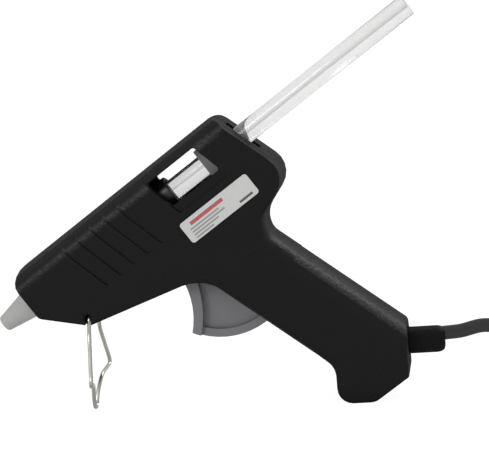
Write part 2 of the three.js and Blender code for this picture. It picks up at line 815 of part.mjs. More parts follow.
// Nozzle, cover, chamber and sleeve are turned about the barrel axis.
function coverPiece() {
  const tip = coverTipDiameter / 2;
  const base = coverBaseDiameter / 2;
  const neckRadius = coverNeckDiameter / 2;
  const inner = nozzleBaseDiameter / 2 + fitGap;
  return turned([
    [-coverReach, coverMouthDiameter / 2],
    [-coverReach, tip],
    [noseFront - coverLip, base],
    [noseFront - coverLip, neckRadius],
    [coverTail, neckRadius],
    [coverTail, inner],
    [noseFront - coverLip, inner],
    [-coverReach + coverMouthDepth, nozzleTipDiameter / 2 + fitGap],
    [-coverReach + coverMouthDepth, coverMouthDiameter / 2],
  ]);
}

function nozzlePiece() {
  const flangeStart = coverTail + fitGap;
  const flangeEnd = flangeStart + nozzleFlangeLength;
  return turned([
    [-coverReach + coverMouthDepth + fitGap, nozzleBore / 2],
    [-coverReach + coverMouthDepth + fitGap, nozzleTipDiameter / 2],
    [noseFront - coverLip + fitGap, nozzleBaseDiameter / 2],
    [flangeStart, nozzleBaseDiameter / 2],
    [flangeStart, nozzleFlangeDiameter / 2],
    [flangeEnd, nozzleFlangeDiameter / 2],
    [flangeEnd, nozzleThreadDiameter / 2],
    [flangeEnd + nozzleThreadLength, nozzleThreadDiameter / 2],
    [flangeEnd + nozzleThreadLength, nozzleBore / 2],
  ]);
}

function chamberPiece() {
  const w = tunnelWidth / 2;
  const barrel = barrelRod(chamberStart, chamberEnd - spigotLength, chamberDiameter);
  const spigot = barrelRod(chamberStart, chamberEnd, spigotDiameter);
  const outer = w + tunnelCheek;
  const keel = block(tunnelFront, tunnelRear, -outer, outer, tunnelBottom - tunnelFloor, 0);
  const tunnel = block(tunnelFront - overrun, tunnelRear + overrun, -w, w, tunnelBottom, tunnelTop);
  const bore = barrelRod(chamberStart + nozzleThreadLength + overrun, chamberEnd + overrun, stickBore);
  const threadRear = chamberStart + nozzleThreadLength + 2 * overrun;
  const thread = barrelRod(chamberStart - overrun, threadRear, nozzleThreadDiameter + 2 * fitGap);
  return join([barrel, spigot, keel]).subtract(join([tunnel, bore, thread]));
}

function sleevePiece() {
  const cuffStart = chamberEnd - spigotLength + fitGap;
  const cuffEnd = cuffStart + sleeveCuffLength;
  const cuffBore = spigotDiameter / 2 + fitGap;
  return turned([
    [cuffStart, cuffBore],
    [cuffStart, cuffBore + sleeveCuffWall],
    [cuffEnd, cuffBore + sleeveCuffWall],
    [cuffEnd + sleeveCuffWall, sleeveDiameter / 2],
    [sleeveRear, sleeveDiameter / 2],
    [sleeveRear, sleeveBore / 2],
    [cuffEnd - sleeveCuffWall / 2, sleeveBore / 2],
    [cuffEnd - sleeveCuffWall / 2, cuffBore],
  ]);
}

function clampBand() {
  const start = chamberEnd - spigotLength + 2 * fitGap + clampWidth / 2;
  const inner = spigotDiameter / 2 + sleeveCuffWall + 2 * fitGap;
  return turned([
    [start, inner],
    [start, inner + clampThickness],
    [start + clampWidth, inner + clampThickness],
    [start + clampWidth, inner],
  ]);
}

// Heater stack in the tunnel: insulating wrap, contact plate, heating element, contact plate.
const wrapFront = tunnelFront + (tunnelLength - insulatorLength) / 2;
const wrapTop = tunnelTop - fitGap;
const wrapBottom = tunnelBottom + fitGap;
const wrapHalf = tunnelWidth / 2 - fitGap;
const upperPlate = wrapTop - insulatorWall - fitGap;
const heaterTop = upperPlate - plateThickness - fitGap;
const lowerPlate = heaterTop - heaterThickness - fitGap;

function wrapPiece() {
  const rear = wrapFront + insulatorLength;
  const outer = block(wrapFront, rear, -wrapHalf, wrapHalf, wrapBottom, wrapTop);
  const w = wrapHalf - insulatorWall;
  const floor = wrapBottom + insulatorWall;
  const ceiling = wrapTop - insulatorWall;
  return outer.subtract(block(wrapFront - overrun, rear + overrun, -w, w, floor, ceiling));
}

function contactPlate(top, side) {
  const rear = wrapFront + insulatorLength;
  const w = plateWidth / 2;
  const bottom = top - plateThickness;
  const plate = block(wrapFront + fitGap, rear, -w, w, bottom, top);
  const tabSide = side * tabOffset - tabWidth / 2;
  return plate.add(block(rear - overrun, rear + tabReach, tabSide, tabSide + tabWidth, bottom, top));
}

// Tubes along a route.
function roundTube(points, diameter, sides, steps) {
  const section = new THREE.Shape();
  section.absarc(0, 0, diameter / 2, 0, 2 * Math.PI);
  const places = points.map((p) => new THREE.Vector3(...p));
  const extrudePath = new THREE.CatmullRomCurve3(places, false, "centripetal");
  const curveSegments = sides / 2;
  return new THREE.ExtrudeGeometry(section, { steps, curveSegments, bevelEnabled: false, extrudePath });
}

function leadPiece(side, top) {
  const start = wrapFront + insulatorLength + tabReach + crimpLength + 2 * fitGap;
  const z = top - plateThickness / 2;
  const level = (x, y, offset) => {
    const [px, pz] = fromBench(x, cordAxis + offset);
    return [px, y, pz];
  };
  const pair = (side * 2 * leadDiameter) / 3;
  const points = [
    [start, side * tabOffset, z],
    [start + leadDiameter, side * tabOffset, z],
    [start + 3.5 * leadDiameter, side * leadOffset * 0.6, z - 3 * leadDiameter],
    [elbowStation * 0.66, side * leadOffset, -elbowDepth],
    [pivotStation + hubDiameter * 1.1, side * leadOffset, -pivotDepth + hubDiameter / 2],
    [pivotStation + hubDiameter * 1.5, side * leadOffset * 0.8, -pivotDepth - hubDiameter],
    [pivotStation + hubDiameter * 1.7, side * leadOffset * 0.35, -pivotDepth - 3.4 * hubDiameter],
    level(clampCentre - 2 * cordClampWidth, side * 1.6 * leadDiameter, pair + cordClampWidth),
    level(clampCentre - cordClampWidth, 0, pair),
    level(clampCentre, 0, pair),
    level(buttReach - wall - 2 * fitGap - reliefFlangeThickness, 0, pair),
  ];
  return roundTube(points, leadDiameter, leadSides, leadSteps);
}

// Return spring from the arms' bar to the rear screw boss.
function springPiece() {
  const rearPlace = screwPlaces[1];
  const from = new THREE.Vector3(barStation, 0, -barDepth);
  const to = new THREE.Vector3(rearPlace[0], 0, rearPlace[1]);
  const along = to.clone().sub(from).normalize();
  from.addScaledVector(along, barDiameter / 2 + fitGap);
  to.addScaledVector(along, -bossDiameter / 2 - fitGap);
  const length = from.distanceTo(to);
  const up = new THREE.Vector3(0, 1, 0);
  const out = new THREE.Vector3().crossVectors(along, up);
  const coilLength = length - 2 * springEnd;
  const steps = springCurls * curlSteps;
  const radius = (springDiameter - springWire) / 2;
  const centres = [from.clone(), from.clone().addScaledVector(along, springEnd / 2)];
  for (let k = 0; k <= steps; k += 1) {
    const angle = (2 * Math.PI * k) / curlSteps;
    const reach = radius * Math.min(1, (2 * k) / curlSteps, (2 * (steps - k)) / curlSteps);
    const p = from.clone().addScaledVector(along, springEnd + (coilLength * k) / steps);
    p.addScaledVector(up, reach * Math.cos(angle));
    p.addScaledVector(out, reach * Math.sin(angle));
    centres.push(p);
  }
  centres.push(to.clone().addScaledVector(along, -springEnd / 2), to.clone());
  return sweep(centres, springSides, roundSection(springWire), along);
}

function roundSection(diameter, start = 0) {
  const radius = diameter / 2;
  return (angle) => [radius * Math.cos(angle + start), radius * Math.sin(angle + start)];
}

// A closed tube through listed centres. The section turns with the route, with one of its sides towards a
// fixed direction.
function sweep(centres, sides, section, fixed) {
  const positions = [];
  const count = centres.length;
  centres.forEach((centre, i) => {
    const ahead = centres[Math.min(i + 1, count - 1)];
    const behind = centres[Math.max(i - 1, 0)];
    const tangent = ahead.clone().sub(behind).normalize();
    let side = new THREE.Vector3().crossVectors(fixed, tangent);
    if (side.length() < 0.05) {
      side = new THREE.Vector3(fixed.z, 0, -fixed.x);
    }
    side.normalize();
    const up = new THREE.Vector3().crossVectors(tangent, side);
    for (let k = 0; k < sides; k += 1) {
      const [a, b] = section((2 * Math.PI * k) / sides);
      const p = centre.clone().addScaledVector(side, a).addScaledVector(up, b);
      positions.push(p.x, p.y, p.z);
    }
  });
  const index = [];
  for (let i = 0; i < count - 1; i += 1) {
    for (let k = 0; k < sides; k += 1) {
      const a = i * sides + k;
      const b = i * sides + ((k + 1) % sides);
      index.push(a, b, b + sides, a, b + sides, a + sides);
    }
  }
  const last = (count - 1) * sides;
  for (let k = 1; k < sides - 1; k += 1) {
    index.push(0, k + 1, k, last, last + k, last + k + 1);
  }
  const geometry = new THREE.BufferGeometry();
  geometry.setAttribute("position", new THREE.BufferAttribute(new Float32Array(positions), 3));
  geometry.setIndex(index);
  geometry.computeVertexNormals();
  return geometry;
}

// Wire stand: one bent wire, from a stub in the far wall down to the foot and up to the near wall.
function standPiece() {
  const halfSpan = standSpan / 2;
  const bend = wireDiameter;
  const foot = standLength - wireDiameter / 2;
  const shoulder = standShoulderSpan / 2;
  const kink = standKinkSpan / 2;
  const leg = [
    [0, halfSpan - standStub, 0],
    [0, halfSpan - standStub / 2, 0],
    [bend * 0.35, halfSpan - bend * 0.1, 0],
    [bend * 1.3, halfSpan, 0],
    [standStraight, halfSpan, 0],
    [(standStraight + standShoulder) / 2, (halfSpan + shoulder) / 2, standBow / 2],
    [standShoulder - bend * 0.6, shoulder - bend * 0.2, standBow],
    [standShoulder + bend * 0.1, shoulder - bend * 0.3, standBow],
    [standShoulder + standKink * 0.35, shoulder - bend * 1.6, standBow * 0.8],
    [standShoulder + standKink * 0.7, kink + bend * 1.2, standBow * 0.5],
    [standShoulder + standKink, kink, standBow * 0.4],
    [foot - 2.6 * bend, kink * 0.42, 0],
    [foot - bend * 0.6, kink * 0.24, 0],
  ];
  const [downX, downZ] = [Math.cos(standAngle), Math.sin(standAngle)];
  const place = ([s, y, bow]) => {
    const x = standStation + downX * s - downZ * bow;
    const z = -standDepth + downZ * s + downX * bow;
    return new THREE.Vector3(x, y, z);
  };
  const far = leg.map(place);
  const near = leg.map(([s, y, bow]) => place([s, -y, bow])).reverse();
  const route = new THREE.CatmullRomCurve3([...far, place([foot, 0, 0]), ...near], false, "centripetal");
  const forward = new THREE.Vector3(-downZ, 0, downX);
  const section = roundSection(wireDiameter, Math.PI / wireSides);
  return sweep(route.getSpacedPoints(wireSteps), wireSides, section, forward);
}

// A screw across the tool. Its head's top is at one depth, and its shank points towards the near side or
// away from it.
function screwPiece([x, z], headTop, pointing, head, headHeight, shank, length) {
  const headUnder = headTop + pointing * headHeight;
  const ends = (a, b) => [Math.min(a, b), Math.max(a, b)];
  const cap = crossRod(x, z, head, ...ends(headTop, headUnder));
  return cap.add(crossRod(x, z, shank, ...ends(headTop, headTop + pointing * length)));
}

// Housing
addPart("left_shell", shell(-1), materials.shell);
addPart("right_shell", shell(1), materials.shell);
screwPlaces.forEach((place, i) => {
  const top = half - screwHeadSink;
  const screw = screwPiece(place, top, -1, screwHeadDiameter, screwHeadHeight, screwDiameter, screwLength);
  addPart(`housing_screw_${i + 1}`, screw, materials.steel);
});
const labelUnder = half - labelRecess + fitGap;
addPart("label_plate", labelSlab(0, labelUnder, labelUnder + labelThickness), materials.label);

// Glue path
addPart("nozzle_cover", coverPiece(), materials.silicone);
addPart("nozzle", nozzlePiece(), materials.brass);
addPart("melt_chamber", chamberPiece(), materials.aluminium);
addPart("inlet_sleeve", sleevePiece(), materials.rubber);
addPart("sleeve_clamp", clampBand(), materials.steel);
const stickRear = stickFront + stickLength;
addPart("glue_stick", barrelRod(stickFront, stickRear, stickDiameter, stickSides), materials.glue);

// Heater
function heaterPiece() {
  const front = wrapFront + (insulatorLength - heaterLength) / 2;
  const w = heaterWidth / 2;
  return block(front, front + heaterLength, -w, w, heaterTop - heaterThickness, heaterTop);
}

addPart("heater_wrap", wrapPiece(), materials.film);
addPart("upper_contact_plate", contactPlate(upperPlate, -1), materials.brass);
addPart("heating_element", heaterPiece(), materials.ceramic);
addPart("lower_contact_plate", contactPlate(lowerPlate, 1), materials.brass);
[["live", -1, upperPlate], ["neutral", 1, lowerPlate]].forEach(([name, side, top]) => {
  const start = wrapFront + insulatorLength + tabReach + fitGap;
  const crimp = barrelRod(start, start + crimpLength, crimpDiameter, roundSteps);
  addPart(`${name}_crimp`, crimp.translate(0, side * tabOffset, top - plateThickness / 2), materials.brass);
  addPart(`${name}_lead`, leadPiece(side, top), materials.lead);
});

// Trigger works
addPart("trigger", triggerPiece(), materials.trigger);
addPart("trigger_pin", crossRod(...pivot, pinDiameter, -pinLength / 2, pinLength / 2), materials.steel);
addPart("feed_collar", collarPiece(), materials.trigger);
addPart("return_spring", springPiece(), materials.steel);
addPart("wire_stand", standPiece(), materials.steel);

// Cord clamp and strain relief
function cordClampPiece() {
  const w = cordClampWidth / 2;
  const h = cordClampLength / 2;
  const y1 = -leadDiameter / 2 - fitGap;
  const y0 = y1 - cordClampThickness;
  const bar = benchBlock(clampCentre - w, clampCentre + w, y0, y1, cordAxis - h, cordAxis + h);
  const holeDiameter = clampScrewDiameter + 2 * fitGap;
  return bar.subtract(join(clampPlaces.map((place) => crossRod(...place, holeDiameter, -half, half))));
}

function reliefPiece() {
  const h = reliefHeight / 2;
  const w = reliefWidth / 2;
  const behindFace = benchBlock(0, buttReach + 2 * fitGap, -half, half, -heelDepth, 0);
  const flangeRear = buttReach - wall - fitGap;
  const flange = benchBlock(
    flangeRear - reliefFlangeThickness, flangeRear, -w - reliefFlange, w + reliefFlange,
    cordAxis - h - reliefFlange, cordAxis + h + reliefFlange,
  );
  const corner = w * 0.6;
  const section = roundedShape([[-w, -h, corner], [w, -h, corner], [w, h, corner], [-w, h, corner]]);
  const boot = new THREE.ExtrudeGeometry(section, {
    depth: reliefReach - reliefRound,
    bevelEnabled: true,
    bevelThickness: reliefRound,
    bevelSize: reliefRound * 0.7,
    bevelOffset: -reliefRound * 0.7,
    bevelSegments: 3,
  });
  boot.rotateX(Math.PI / 2);
  boot.rotateZ(Math.PI / 2);
  boot.translate(buttReach + fitGap, 0, cordAxis);
  boot.rotateY(standTilt);
  const front = benchBlock(buttReach + fitGap, buttReach + 2 * reliefReach, -half, half, -heelDepth, 0);
  return join([solid(boot).intersect(front), reliefNeck(0).intersect(behindFace), flange]);
}
addPart("cord_clamp", cordClampPiece(), materials.trigger);
clampPlaces.forEach((place, i) => {
  const top = -leadDiameter / 2 - 2 * fitGap - cordClampThickness - clampScrewHeadHeight;
  const head = [clampScrewHead, clampScrewHeadHeight];
  const screw = screwPiece(place, top, 1, ...head, clampScrewDiameter, clampScrewLength);
  addPart(`clamp_screw_${i + 1}`, screw, materials.steel);
});
addPart("strain_relief", reliefPiece(), materials.rubber);

// Cord: flat, with its wide side upright. Its free stretch leaves the strain relief, dips to the bench and
// runs into a tied hank, and its last stretch runs on to the plug.
const cordTop = cordWidth / 2;
const restHeight = cordTop + fitGap;

function flatCord(points, steps) {
  const section = new THREE.Shape();
  section.absellipse(0, 0, cordThickness / 2, cordWidth / 2, 0, 2 * Math.PI);
  const path = new THREE.CatmullRomCurve3(points.map((p) => new THREE.Vector3(...p)), false, "centripetal");
  const curveSegments = cordSides / 2;
  const options = { steps, curveSegments, bevelEnabled: false, extrudePath: path };
  return { geometry: new THREE.ExtrudeGeometry(section, options), length: path.getLength() };
}

// One unbroken cord wound as long loops, inwards in the lower layer and outwards in the upper one.
// The climb is along one run, and all loops are drawn in at the waist, where the tie goes round them.
const runShare = 0.3;
const climbShare = 0.1;
const hankTotal = hankTurns + runShare;
const hankMiddle = hankTotal / 2;

function hankRadius(turn) {
  return hankFoldRadius - hankPitch * Math.min(turn, hankTotal - turn);
}

function smooth(share) {
  const t = THREE.MathUtils.clamp(share, 0, 1);
  return t * t * (3 - 2 * t);
}

function hankPoint(turn, run) {
  const radius = hankRadius(turn);
  const climb = smooth((turn - hankMiddle + climbShare / 2) / climbShare);
  const phase = turn - Math.floor(turn);
  const foldShare = 0.5 - runShare;
  let x;
  let y;
  if (phase < runShare) {
    x = run * (phase / runShare - 0.5);
    y = -radius;
  } else if (phase < 0.5) {
    const angle = -Math.PI / 2 + (Math.PI * (phase - runShare)) / foldShare;
    x = run / 2 + radius * Math.cos(angle);
    y = radius * Math.sin(angle);
  } else if (phase < 0.5 + runShare) {
    x = run * (0.5 - (phase - 0.5) / runShare);
    y = radius;
  } else {
    const angle = Math.PI / 2 + (Math.PI * (phase - 0.5 - runShare)) / foldShare;
    x = -run / 2 + radius * Math.cos(angle);
    y = radius * Math.sin(angle);
  }
  const waist = smooth(1 - Math.abs(x) / (run / 2));
  const z = restHeight + waist * (tieThickness + fitGap) + climb * hankRise;
  return new THREE.Vector3(x, y - Math.sign(y) * waist * hankDraw, z);
}

function hankRoute(run, perTurn) {
  const steps = Math.round(hankTotal * perTurn);
  return Array.from({ length: steps + 1 }, (_, k) => hankPoint((hankTotal * k) / steps, run));
}

function routeLength(points) {
  return points.slice(1).reduce((sum, p, i) => sum + p.distanceTo(points[i]), 0);
}

// The run of the hank is the one that uses up the cord's length.
function fittingRun(length) {
  let low = hankFoldRadius;
  let high = length;
  for (let k = 0; k < 40; k += 1) {
    const middle = (low + high) / 2;
    if (routeLength(hankRoute(middle, fineSteps)) < length) {
      low = middle;
    } else {
      high = middle;
    }
  }
  return (low + high) / 2;
}

// Least gap between parts of one route that lie more than a few widths apart along it.
function leastGap(points) {
  const dense = new THREE.CatmullRomCurve3(points).getSpacedPoints(points.length * 3);
  const step = dense[0].distanceTo(dense[1]);
  const skip = Math.ceil((3 * cordWidth) / step);
  let least = Infinity;
  for (let i = 0; i < dense.length; i += 1) {
    for (let k = i + skip; k < dense.length; k += 1) {
      const flat = Math.hypot(dense[i].x - dense[k].x, dense[i].y - dense[k].y) - cordThickness;
      const upright = Math.abs(dense[i].z - dense[k].z) - cordWidth;
      least = Math.min(least, Math.max(flat, upright));
    }
  }
  return least;
}

// The tool stands on the heel and the wire foot, with its length centred on the start of the bench frame.
tool.rotation.y = -standTilt;
const object = new THREE.Group();
object.add(tool, bench);
object.updateMatrixWorld(true);
const box = new THREE.Box3().setFromObject(tool, true);
tool.position.set(-(box.min.x + box.max.x) / 2, 0, -box.min.z);

// Route of the free cord, chosen by hand, in world places.
const leadRoute = [
  [73.3, 0, 19.3],
  [78, 0, 19.6],
  [86, 0, 21],
  [94, -1, 19.2],
  [101, -4, 12.5],
  [107, -9, 6],
  [113, -13.5, 3.1],
];
const nearEnd = hankStart + hankFoldRadius;
const leadEnd = [
  [nearEnd - hankFoldRadius * 0.6, -hankFoldRadius, restHeight],
  [nearEnd - fitGap, -hankFoldRadius, restHeight],
];
const lead = flatCord([...leadRoute, ...leadEnd], cordLeadSteps);
addPart("cord_lead", lead.geometry, materials.cord, bench);

const upperLevel = restHeight + hankRise;
const tailReach = 1.6 * hankFoldRadius + plugGap;
const tail = flatCord([
  [fitGap, -hankFoldRadius, upperLevel],
  [hankFoldRadius * 0.5, -hankFoldRadius, upperLevel],
  [hankFoldRadius * 1.1, -hankFoldRadius * 0.75, upperLevel],
  [hankFoldRadius * 1.7, -hankFoldRadius * 0.2, plugThickness / 2],
  [tailReach - cordWidth - fitGap, 0, plugThickness / 2],
  [tailReach - fitGap, 0, plugThickness / 2],
], cordTailSteps);
const run = fittingRun(cordLength - lead.length - tail.length);
const hankCentre = nearEnd + run / 2;
const hank = hankRoute(run, loopSteps);
const upright = new THREE.Vector3(0, 0, 1);
const hankSection = (angle) => [(Math.cos(angle) * cordThickness) / 2, (Math.sin(angle) * cordWidth) / 2];
const hankForm = sweep(hank, hankSides, hankSection, upright).translate(hankCentre, 0, 0);
addPart("cord_hank", hankForm, materials.cord, bench);
console.log(`hank: run ${run.toFixed(1)} mm, least gap to itself ${leastGap(hank).toFixed(2)} mm`);

const hankEnd = hankCentre + run / 2;
const plugStart = hankEnd + tailReach;
addPart("cord_tail", tail.geometry.translate(hankEnd, 0, 0), materials.cord, bench);

function tiePiece() {
  const side = hankFoldRadius - hankDraw + cordThickness / 2 + fitGap;
  const high = restHeight + cordTop + tieThickness + 2 * fitGap + hankRise;
  const ring = (grow) => roundedShape([
    [-side - grow, tieThickness - grow, cordThickness / 2 + grow],
    [side + grow, tieThickness - grow, cordThickness / 2 + grow],
    [side + grow, high + grow, cordThickness / 2 + grow],
    [-side - grow, high + grow, cordThickness / 2 + grow],
  ]);
  const shape = ring(tieThickness);
  shape.holes.push(new THREE.Path(ring(0).getPoints().reverse()));
  const geometry = new THREE.ExtrudeGeometry(shape, { depth: tieWidth, bevelEnabled: false });
  geometry.rotateX(Math.PI / 2);
  geometry.rotateZ(Math.PI / 2);
  geometry.translate(hankCentre - tieWidth / 2, 0, 0);
  return solid(geometry);
}
addPart("cord_tie", tiePiece(), materials.rubber, bench);

function plugPiece() {
  const w = plugWidth / 2;
  const stem = plugStemDiameter / 2;
  const x1 = plugStemLength;
  const x2 = x1 + plugTaperLength;
  const x3 = x2 + plugBodyLength;
  const shape = roundedShape([
    [0, -stem, plugBevel * 1.1],
    [x1, -stem, plugBevel],
    [x2, -w, plugBevel * 1.6],
    [x3, -w, plugBevel * 1.6],
    [x3, w, plugBevel * 1.6],
    [x2, w, plugBevel * 1.6],
    [x1, stem, plugBevel],
    [0, stem, plugBevel * 1.1],
  ]);
  const geometry = new THREE.ExtrudeGeometry(shape, {
    depth: plugThickness - 2 * plugBevel,
    bevelEnabled: true,
    bevelThickness: plugBevel,
    bevelSize: plugBevel,
    bevelOffset: -plugBevel,
    bevelSegments: 2,
  });
  geometry.translate(plugStart, 0, plugBevel);
  return solid(geometry);
}
addPart("plug_body", plugPiece(), materials.rubber, bench);
[-1, 1].forEach((side, i) => {
  const front = plugStart + plugStemLength + plugTaperLength + plugBodyLength + fitGap;
  const rod = barrelRod(front, front + plugPinLength, plugPinDiameter, roundSteps);
  const pin = rod.translate(0, (side * plugPinSpread) / 2, plugThickness / 2);
  addPart(`plug_pin_${i + 1}`, pin, materials.steel, bench);
});
console.log(`cord: ${(lead.length + routeLength(hankRoute(run, fineSteps)) + tail.length).toFixed(0)} mm`);

export default object;
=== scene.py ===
# %% [markdown]
# # A mini hot glue applicator, from moulded shells to a tied flat cord
#
# The tool is a pistol of two dark moulded shells. A soft grey cone covers the nozzle, a window in each flank
# shows the glue stick in its rubber sleeve, and a grey trigger pushes the stick forward. It stands on its heel
# and on a bent wire. This script dresses the measured model: it keeps the places and sizes that the frame
# gives, remakes what deserves a finer surface, and gives each piece a finish worked out by shader nodes.

# %% Load the frame
import json
import math
import bmesh
import bpy
from mathutils import Matrix, Vector


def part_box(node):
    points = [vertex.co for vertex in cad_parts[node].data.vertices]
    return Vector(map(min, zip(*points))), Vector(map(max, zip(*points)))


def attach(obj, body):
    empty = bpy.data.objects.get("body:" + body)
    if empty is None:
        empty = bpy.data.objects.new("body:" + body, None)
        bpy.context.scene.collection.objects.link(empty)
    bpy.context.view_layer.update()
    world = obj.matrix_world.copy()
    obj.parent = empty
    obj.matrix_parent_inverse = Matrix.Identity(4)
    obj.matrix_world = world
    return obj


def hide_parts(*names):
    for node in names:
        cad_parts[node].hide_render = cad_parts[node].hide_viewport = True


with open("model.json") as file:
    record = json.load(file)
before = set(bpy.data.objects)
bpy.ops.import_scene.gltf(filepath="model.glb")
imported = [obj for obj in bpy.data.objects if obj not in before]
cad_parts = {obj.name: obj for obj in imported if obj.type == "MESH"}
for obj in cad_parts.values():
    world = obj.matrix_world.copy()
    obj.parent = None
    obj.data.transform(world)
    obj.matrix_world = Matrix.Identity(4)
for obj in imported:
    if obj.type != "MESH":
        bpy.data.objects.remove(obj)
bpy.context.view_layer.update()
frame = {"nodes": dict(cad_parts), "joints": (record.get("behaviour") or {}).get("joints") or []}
nodes = frame["nodes"]
millimetre = 0.001

# %% [markdown]
# ## The tool's own directions
#
# Most pieces are easiest to describe along the barrel: X runs back from the housing's front face, Z is up from
# the stick's axis. The feed joint gives the barrel's direction and the stick gives a point on its axis, so one
# matrix can carry any shape from those directions to its place on the bench.

# %% Barrel matrix
feed = Vector(next(j["axis"] for j in frame["joints"] if j["name"] == "feed_slide")).normalized()
tilt = math.atan2(-feed.z, -feed.x)
stick_low, stick_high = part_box("glue_stick")
stick_centre = (Vector(stick_low) + Vector(stick_high)) / 2
stick_middle_station = 106.4 * millimetre
barrel = Matrix.Translation(stick_centre) @ Matrix.Rotation(-tilt, 4, "Y")
barrel = barrel @ Matrix.Translation((-stick_middle_station, 0, 0))
print("tilt of the barrel:", round(math.degrees(tilt), 2), "degrees")

# %% [markdown]
# ## The camera
#
# The photograph was taken from a little to the right of the side view and a little above it, so the rear end
# face and the far leg of the wire show. A long lens from 0.65 m gives the same slight perspective. The camera
# leans by a few degrees, as the one in the photograph did.

# %% Camera
picture_width = 489
pixels_per_millimetre = 3.07
camera_distance = 650 * millimetre
camera_turn = math.radians(7.42)
camera_rise = math.radians(9.02)
camera_roll = math.radians(4.86)
nozzle_tip = (-12.5 * millimetre, 0, 0)
tool_centre = (49.5 * millimetre, 0, -20 * millimetre)
tip_pixel = (5, 324)
picture_middle = (244.5, 232.5)
sensor_width = 36
nearest_seen, farthest_seen = 10 * millimetre, 20


def camera_axes(turn, rise, roll):
    """The camera's right, up and viewing directions."""
    view = Vector((-math.sin(turn) * math.cos(rise), math.cos(turn) * math.cos(rise), -math.sin(rise)))
    level = Vector((math.cos(turn), math.sin(turn), 0))
    upright = level.cross(view)
    right = level * math.cos(roll) - upright * math.sin(roll)
    return right, level * math.sin(roll) + upright * math.cos(roll), view


def place_camera():
    """Puts the nozzle's tip on its pixel, with the tool's middle at the camera's distance."""
    right, up, view = camera_axes(camera_turn, camera_rise, camera_roll)
    focal_pixels = pixels_per_millimetre * camera_distance / millimetre
    tip, middle = barrel @ Vector(nozzle_tip), barrel @ Vector(tool_centre)
    depth = camera_distance + (tip - middle).dot(view)
    across = (tip_pixel[0] - picture_middle[0]) / focal_pixels * depth
    above = (picture_middle[1] - tip_pixel[1]) / focal_pixels * depth
    data = bpy.data.cameras.new("photo_camera")
    camera = bpy.data.objects.new("photo_camera", data)
    bpy.context.scene.collection.objects.link(camera)
    basis = Matrix((right, up, -view)).transposed().to_4x4()
    camera.matrix_world = Matrix.Translation(tip - right * across - up * above - view * depth) @ basis
    data.sensor_width = sensor_width
    data.lens = sensor_width * focal_pixels / picture_width
    data.clip_start, data.clip_end = nearest_seen, farthest_seen
    return camera


camera = place_camera()
bpy.context.scene.camera = camera
print("camera at", [round(v, 3) for v in camera.location], "lens", round(camera.data.lens, 1))

# %% [markdown]
# ## Helpers for meshes
#
# Every new piece is made in a bmesh and then becomes an object at the origin, with its place in its mesh. The
# frame's own meshes are loose triangles. A copy of one has its doubles merged and its flat faces dissolved, so
# that a small bevel can run along its real edges. Weighted normals then keep the flats flat, and the shading
# turns only in the bevel, as light does on a moulded edge.

# %% Make, copy and seat pieces
same_place = 0.004 * millimetre
flat_angle = math.radians(0.5)
sharp_angle = math.radians(28)


def add_object(name, mesh, body, replaced=(), material=None):
    """Links a mesh as a piece that rides on a body and stands for the nodes that it replaces."""
    piece = bpy.data.objects.new(name, mesh)
    bpy.context.scene.collection.objects.link(piece)
    if material:
        mesh.materials.clear()
        mesh.materials.append(material)
    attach(piece, body)
    if replaced:
        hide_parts(*replaced)
    return piece


def from_bmesh(name, shape, body, replaced=(), material=None):
    """Turns a bmesh into a smooth piece."""
    mesh = bpy.data.meshes.new(name)
    bmesh.ops.recalc_face_normals(shape, faces=shape.faces)
    for face in shape.faces:
        face.smooth = True
    shape.to_mesh(mesh)
    shape.free()
    return add_object(name, mesh, body, replaced, material)


def soft_edges(piece, edge, segments=2):
    """Marks a piece's real edges and gives them a small live bevel."""
    piece.data.set_sharp_from_angle(angle=sharp_angle)
    if not edge:
        return
    bevel = piece.modifiers.new("soft edges", "BEVEL")
    bevel.width = edge * millimetre
    bevel.segments = segments
    bevel.limit_method = "ANGLE"
    bevel.angle_limit = sharp_angle
    bevel.use_clamp_overlap = True
    even = piece.modifiers.new("even flats", "WEIGHTED_NORMAL")
    even.keep_sharp = True


def softened(node, body, material, edge, segments=2):
    """A copy of a node with merged doubles, dissolved flats and softly bevelled edges."""
    shape = bmesh.new()
    shape.from_mesh(nodes[node].data)
    bmesh.ops.remove_doubles(shape, verts=shape.verts, dist=same_place)
    bmesh.ops.dissolve_limit(shape, angle_limit=flat_angle, verts=shape.verts, edges=shape.edges)
    piece = from_bmesh(node + "_finished", shape, body, (node,), material)
    soft_edges(piece, edge, segments)
    return piece


print("tools for pieces ready")

# %% [markdown]
# ## Shader maths
#
# A finish is easier to read as sums than as a web of nodes. The class Value wraps one socket, and Python's
# operators on it add Math nodes. Every other node comes from one method of Finish.

# %% Value and Finish
class Value:
    """A number, colour or vector that a socket gives."""

    def __init__(self, finish, socket):
        self.finish = finish
        self.socket = socket

    def math(self, operation, a, b=0.0):
        node = self.finish.node("ShaderNodeMath", {"operation": operation}, {0: a, 1: b})
        return self.finish.value(node.outputs[0])

    def __add__(self, other):
        return self.math("ADD", self, other)

    def __radd__(self, other):
        return self.math("ADD", other, self)

    def __sub__(self, other):
        return self.math("SUBTRACT", self, other)

    def __rsub__(self, other):
        return self.math("SUBTRACT", other, self)

    def __mul__(self, other):
        return self.math("MULTIPLY", self, other)

    def __rmul__(self, other):
        return self.math("MULTIPLY", other, self)

    def __pow__(self, other):
        return self.math("POWER", self, other)

    def __gt__(self, other):
        return self.math("GREATER_THAN", self, other)

    def __lt__(self, other):
        return self.math("LESS_THAN", self, other)


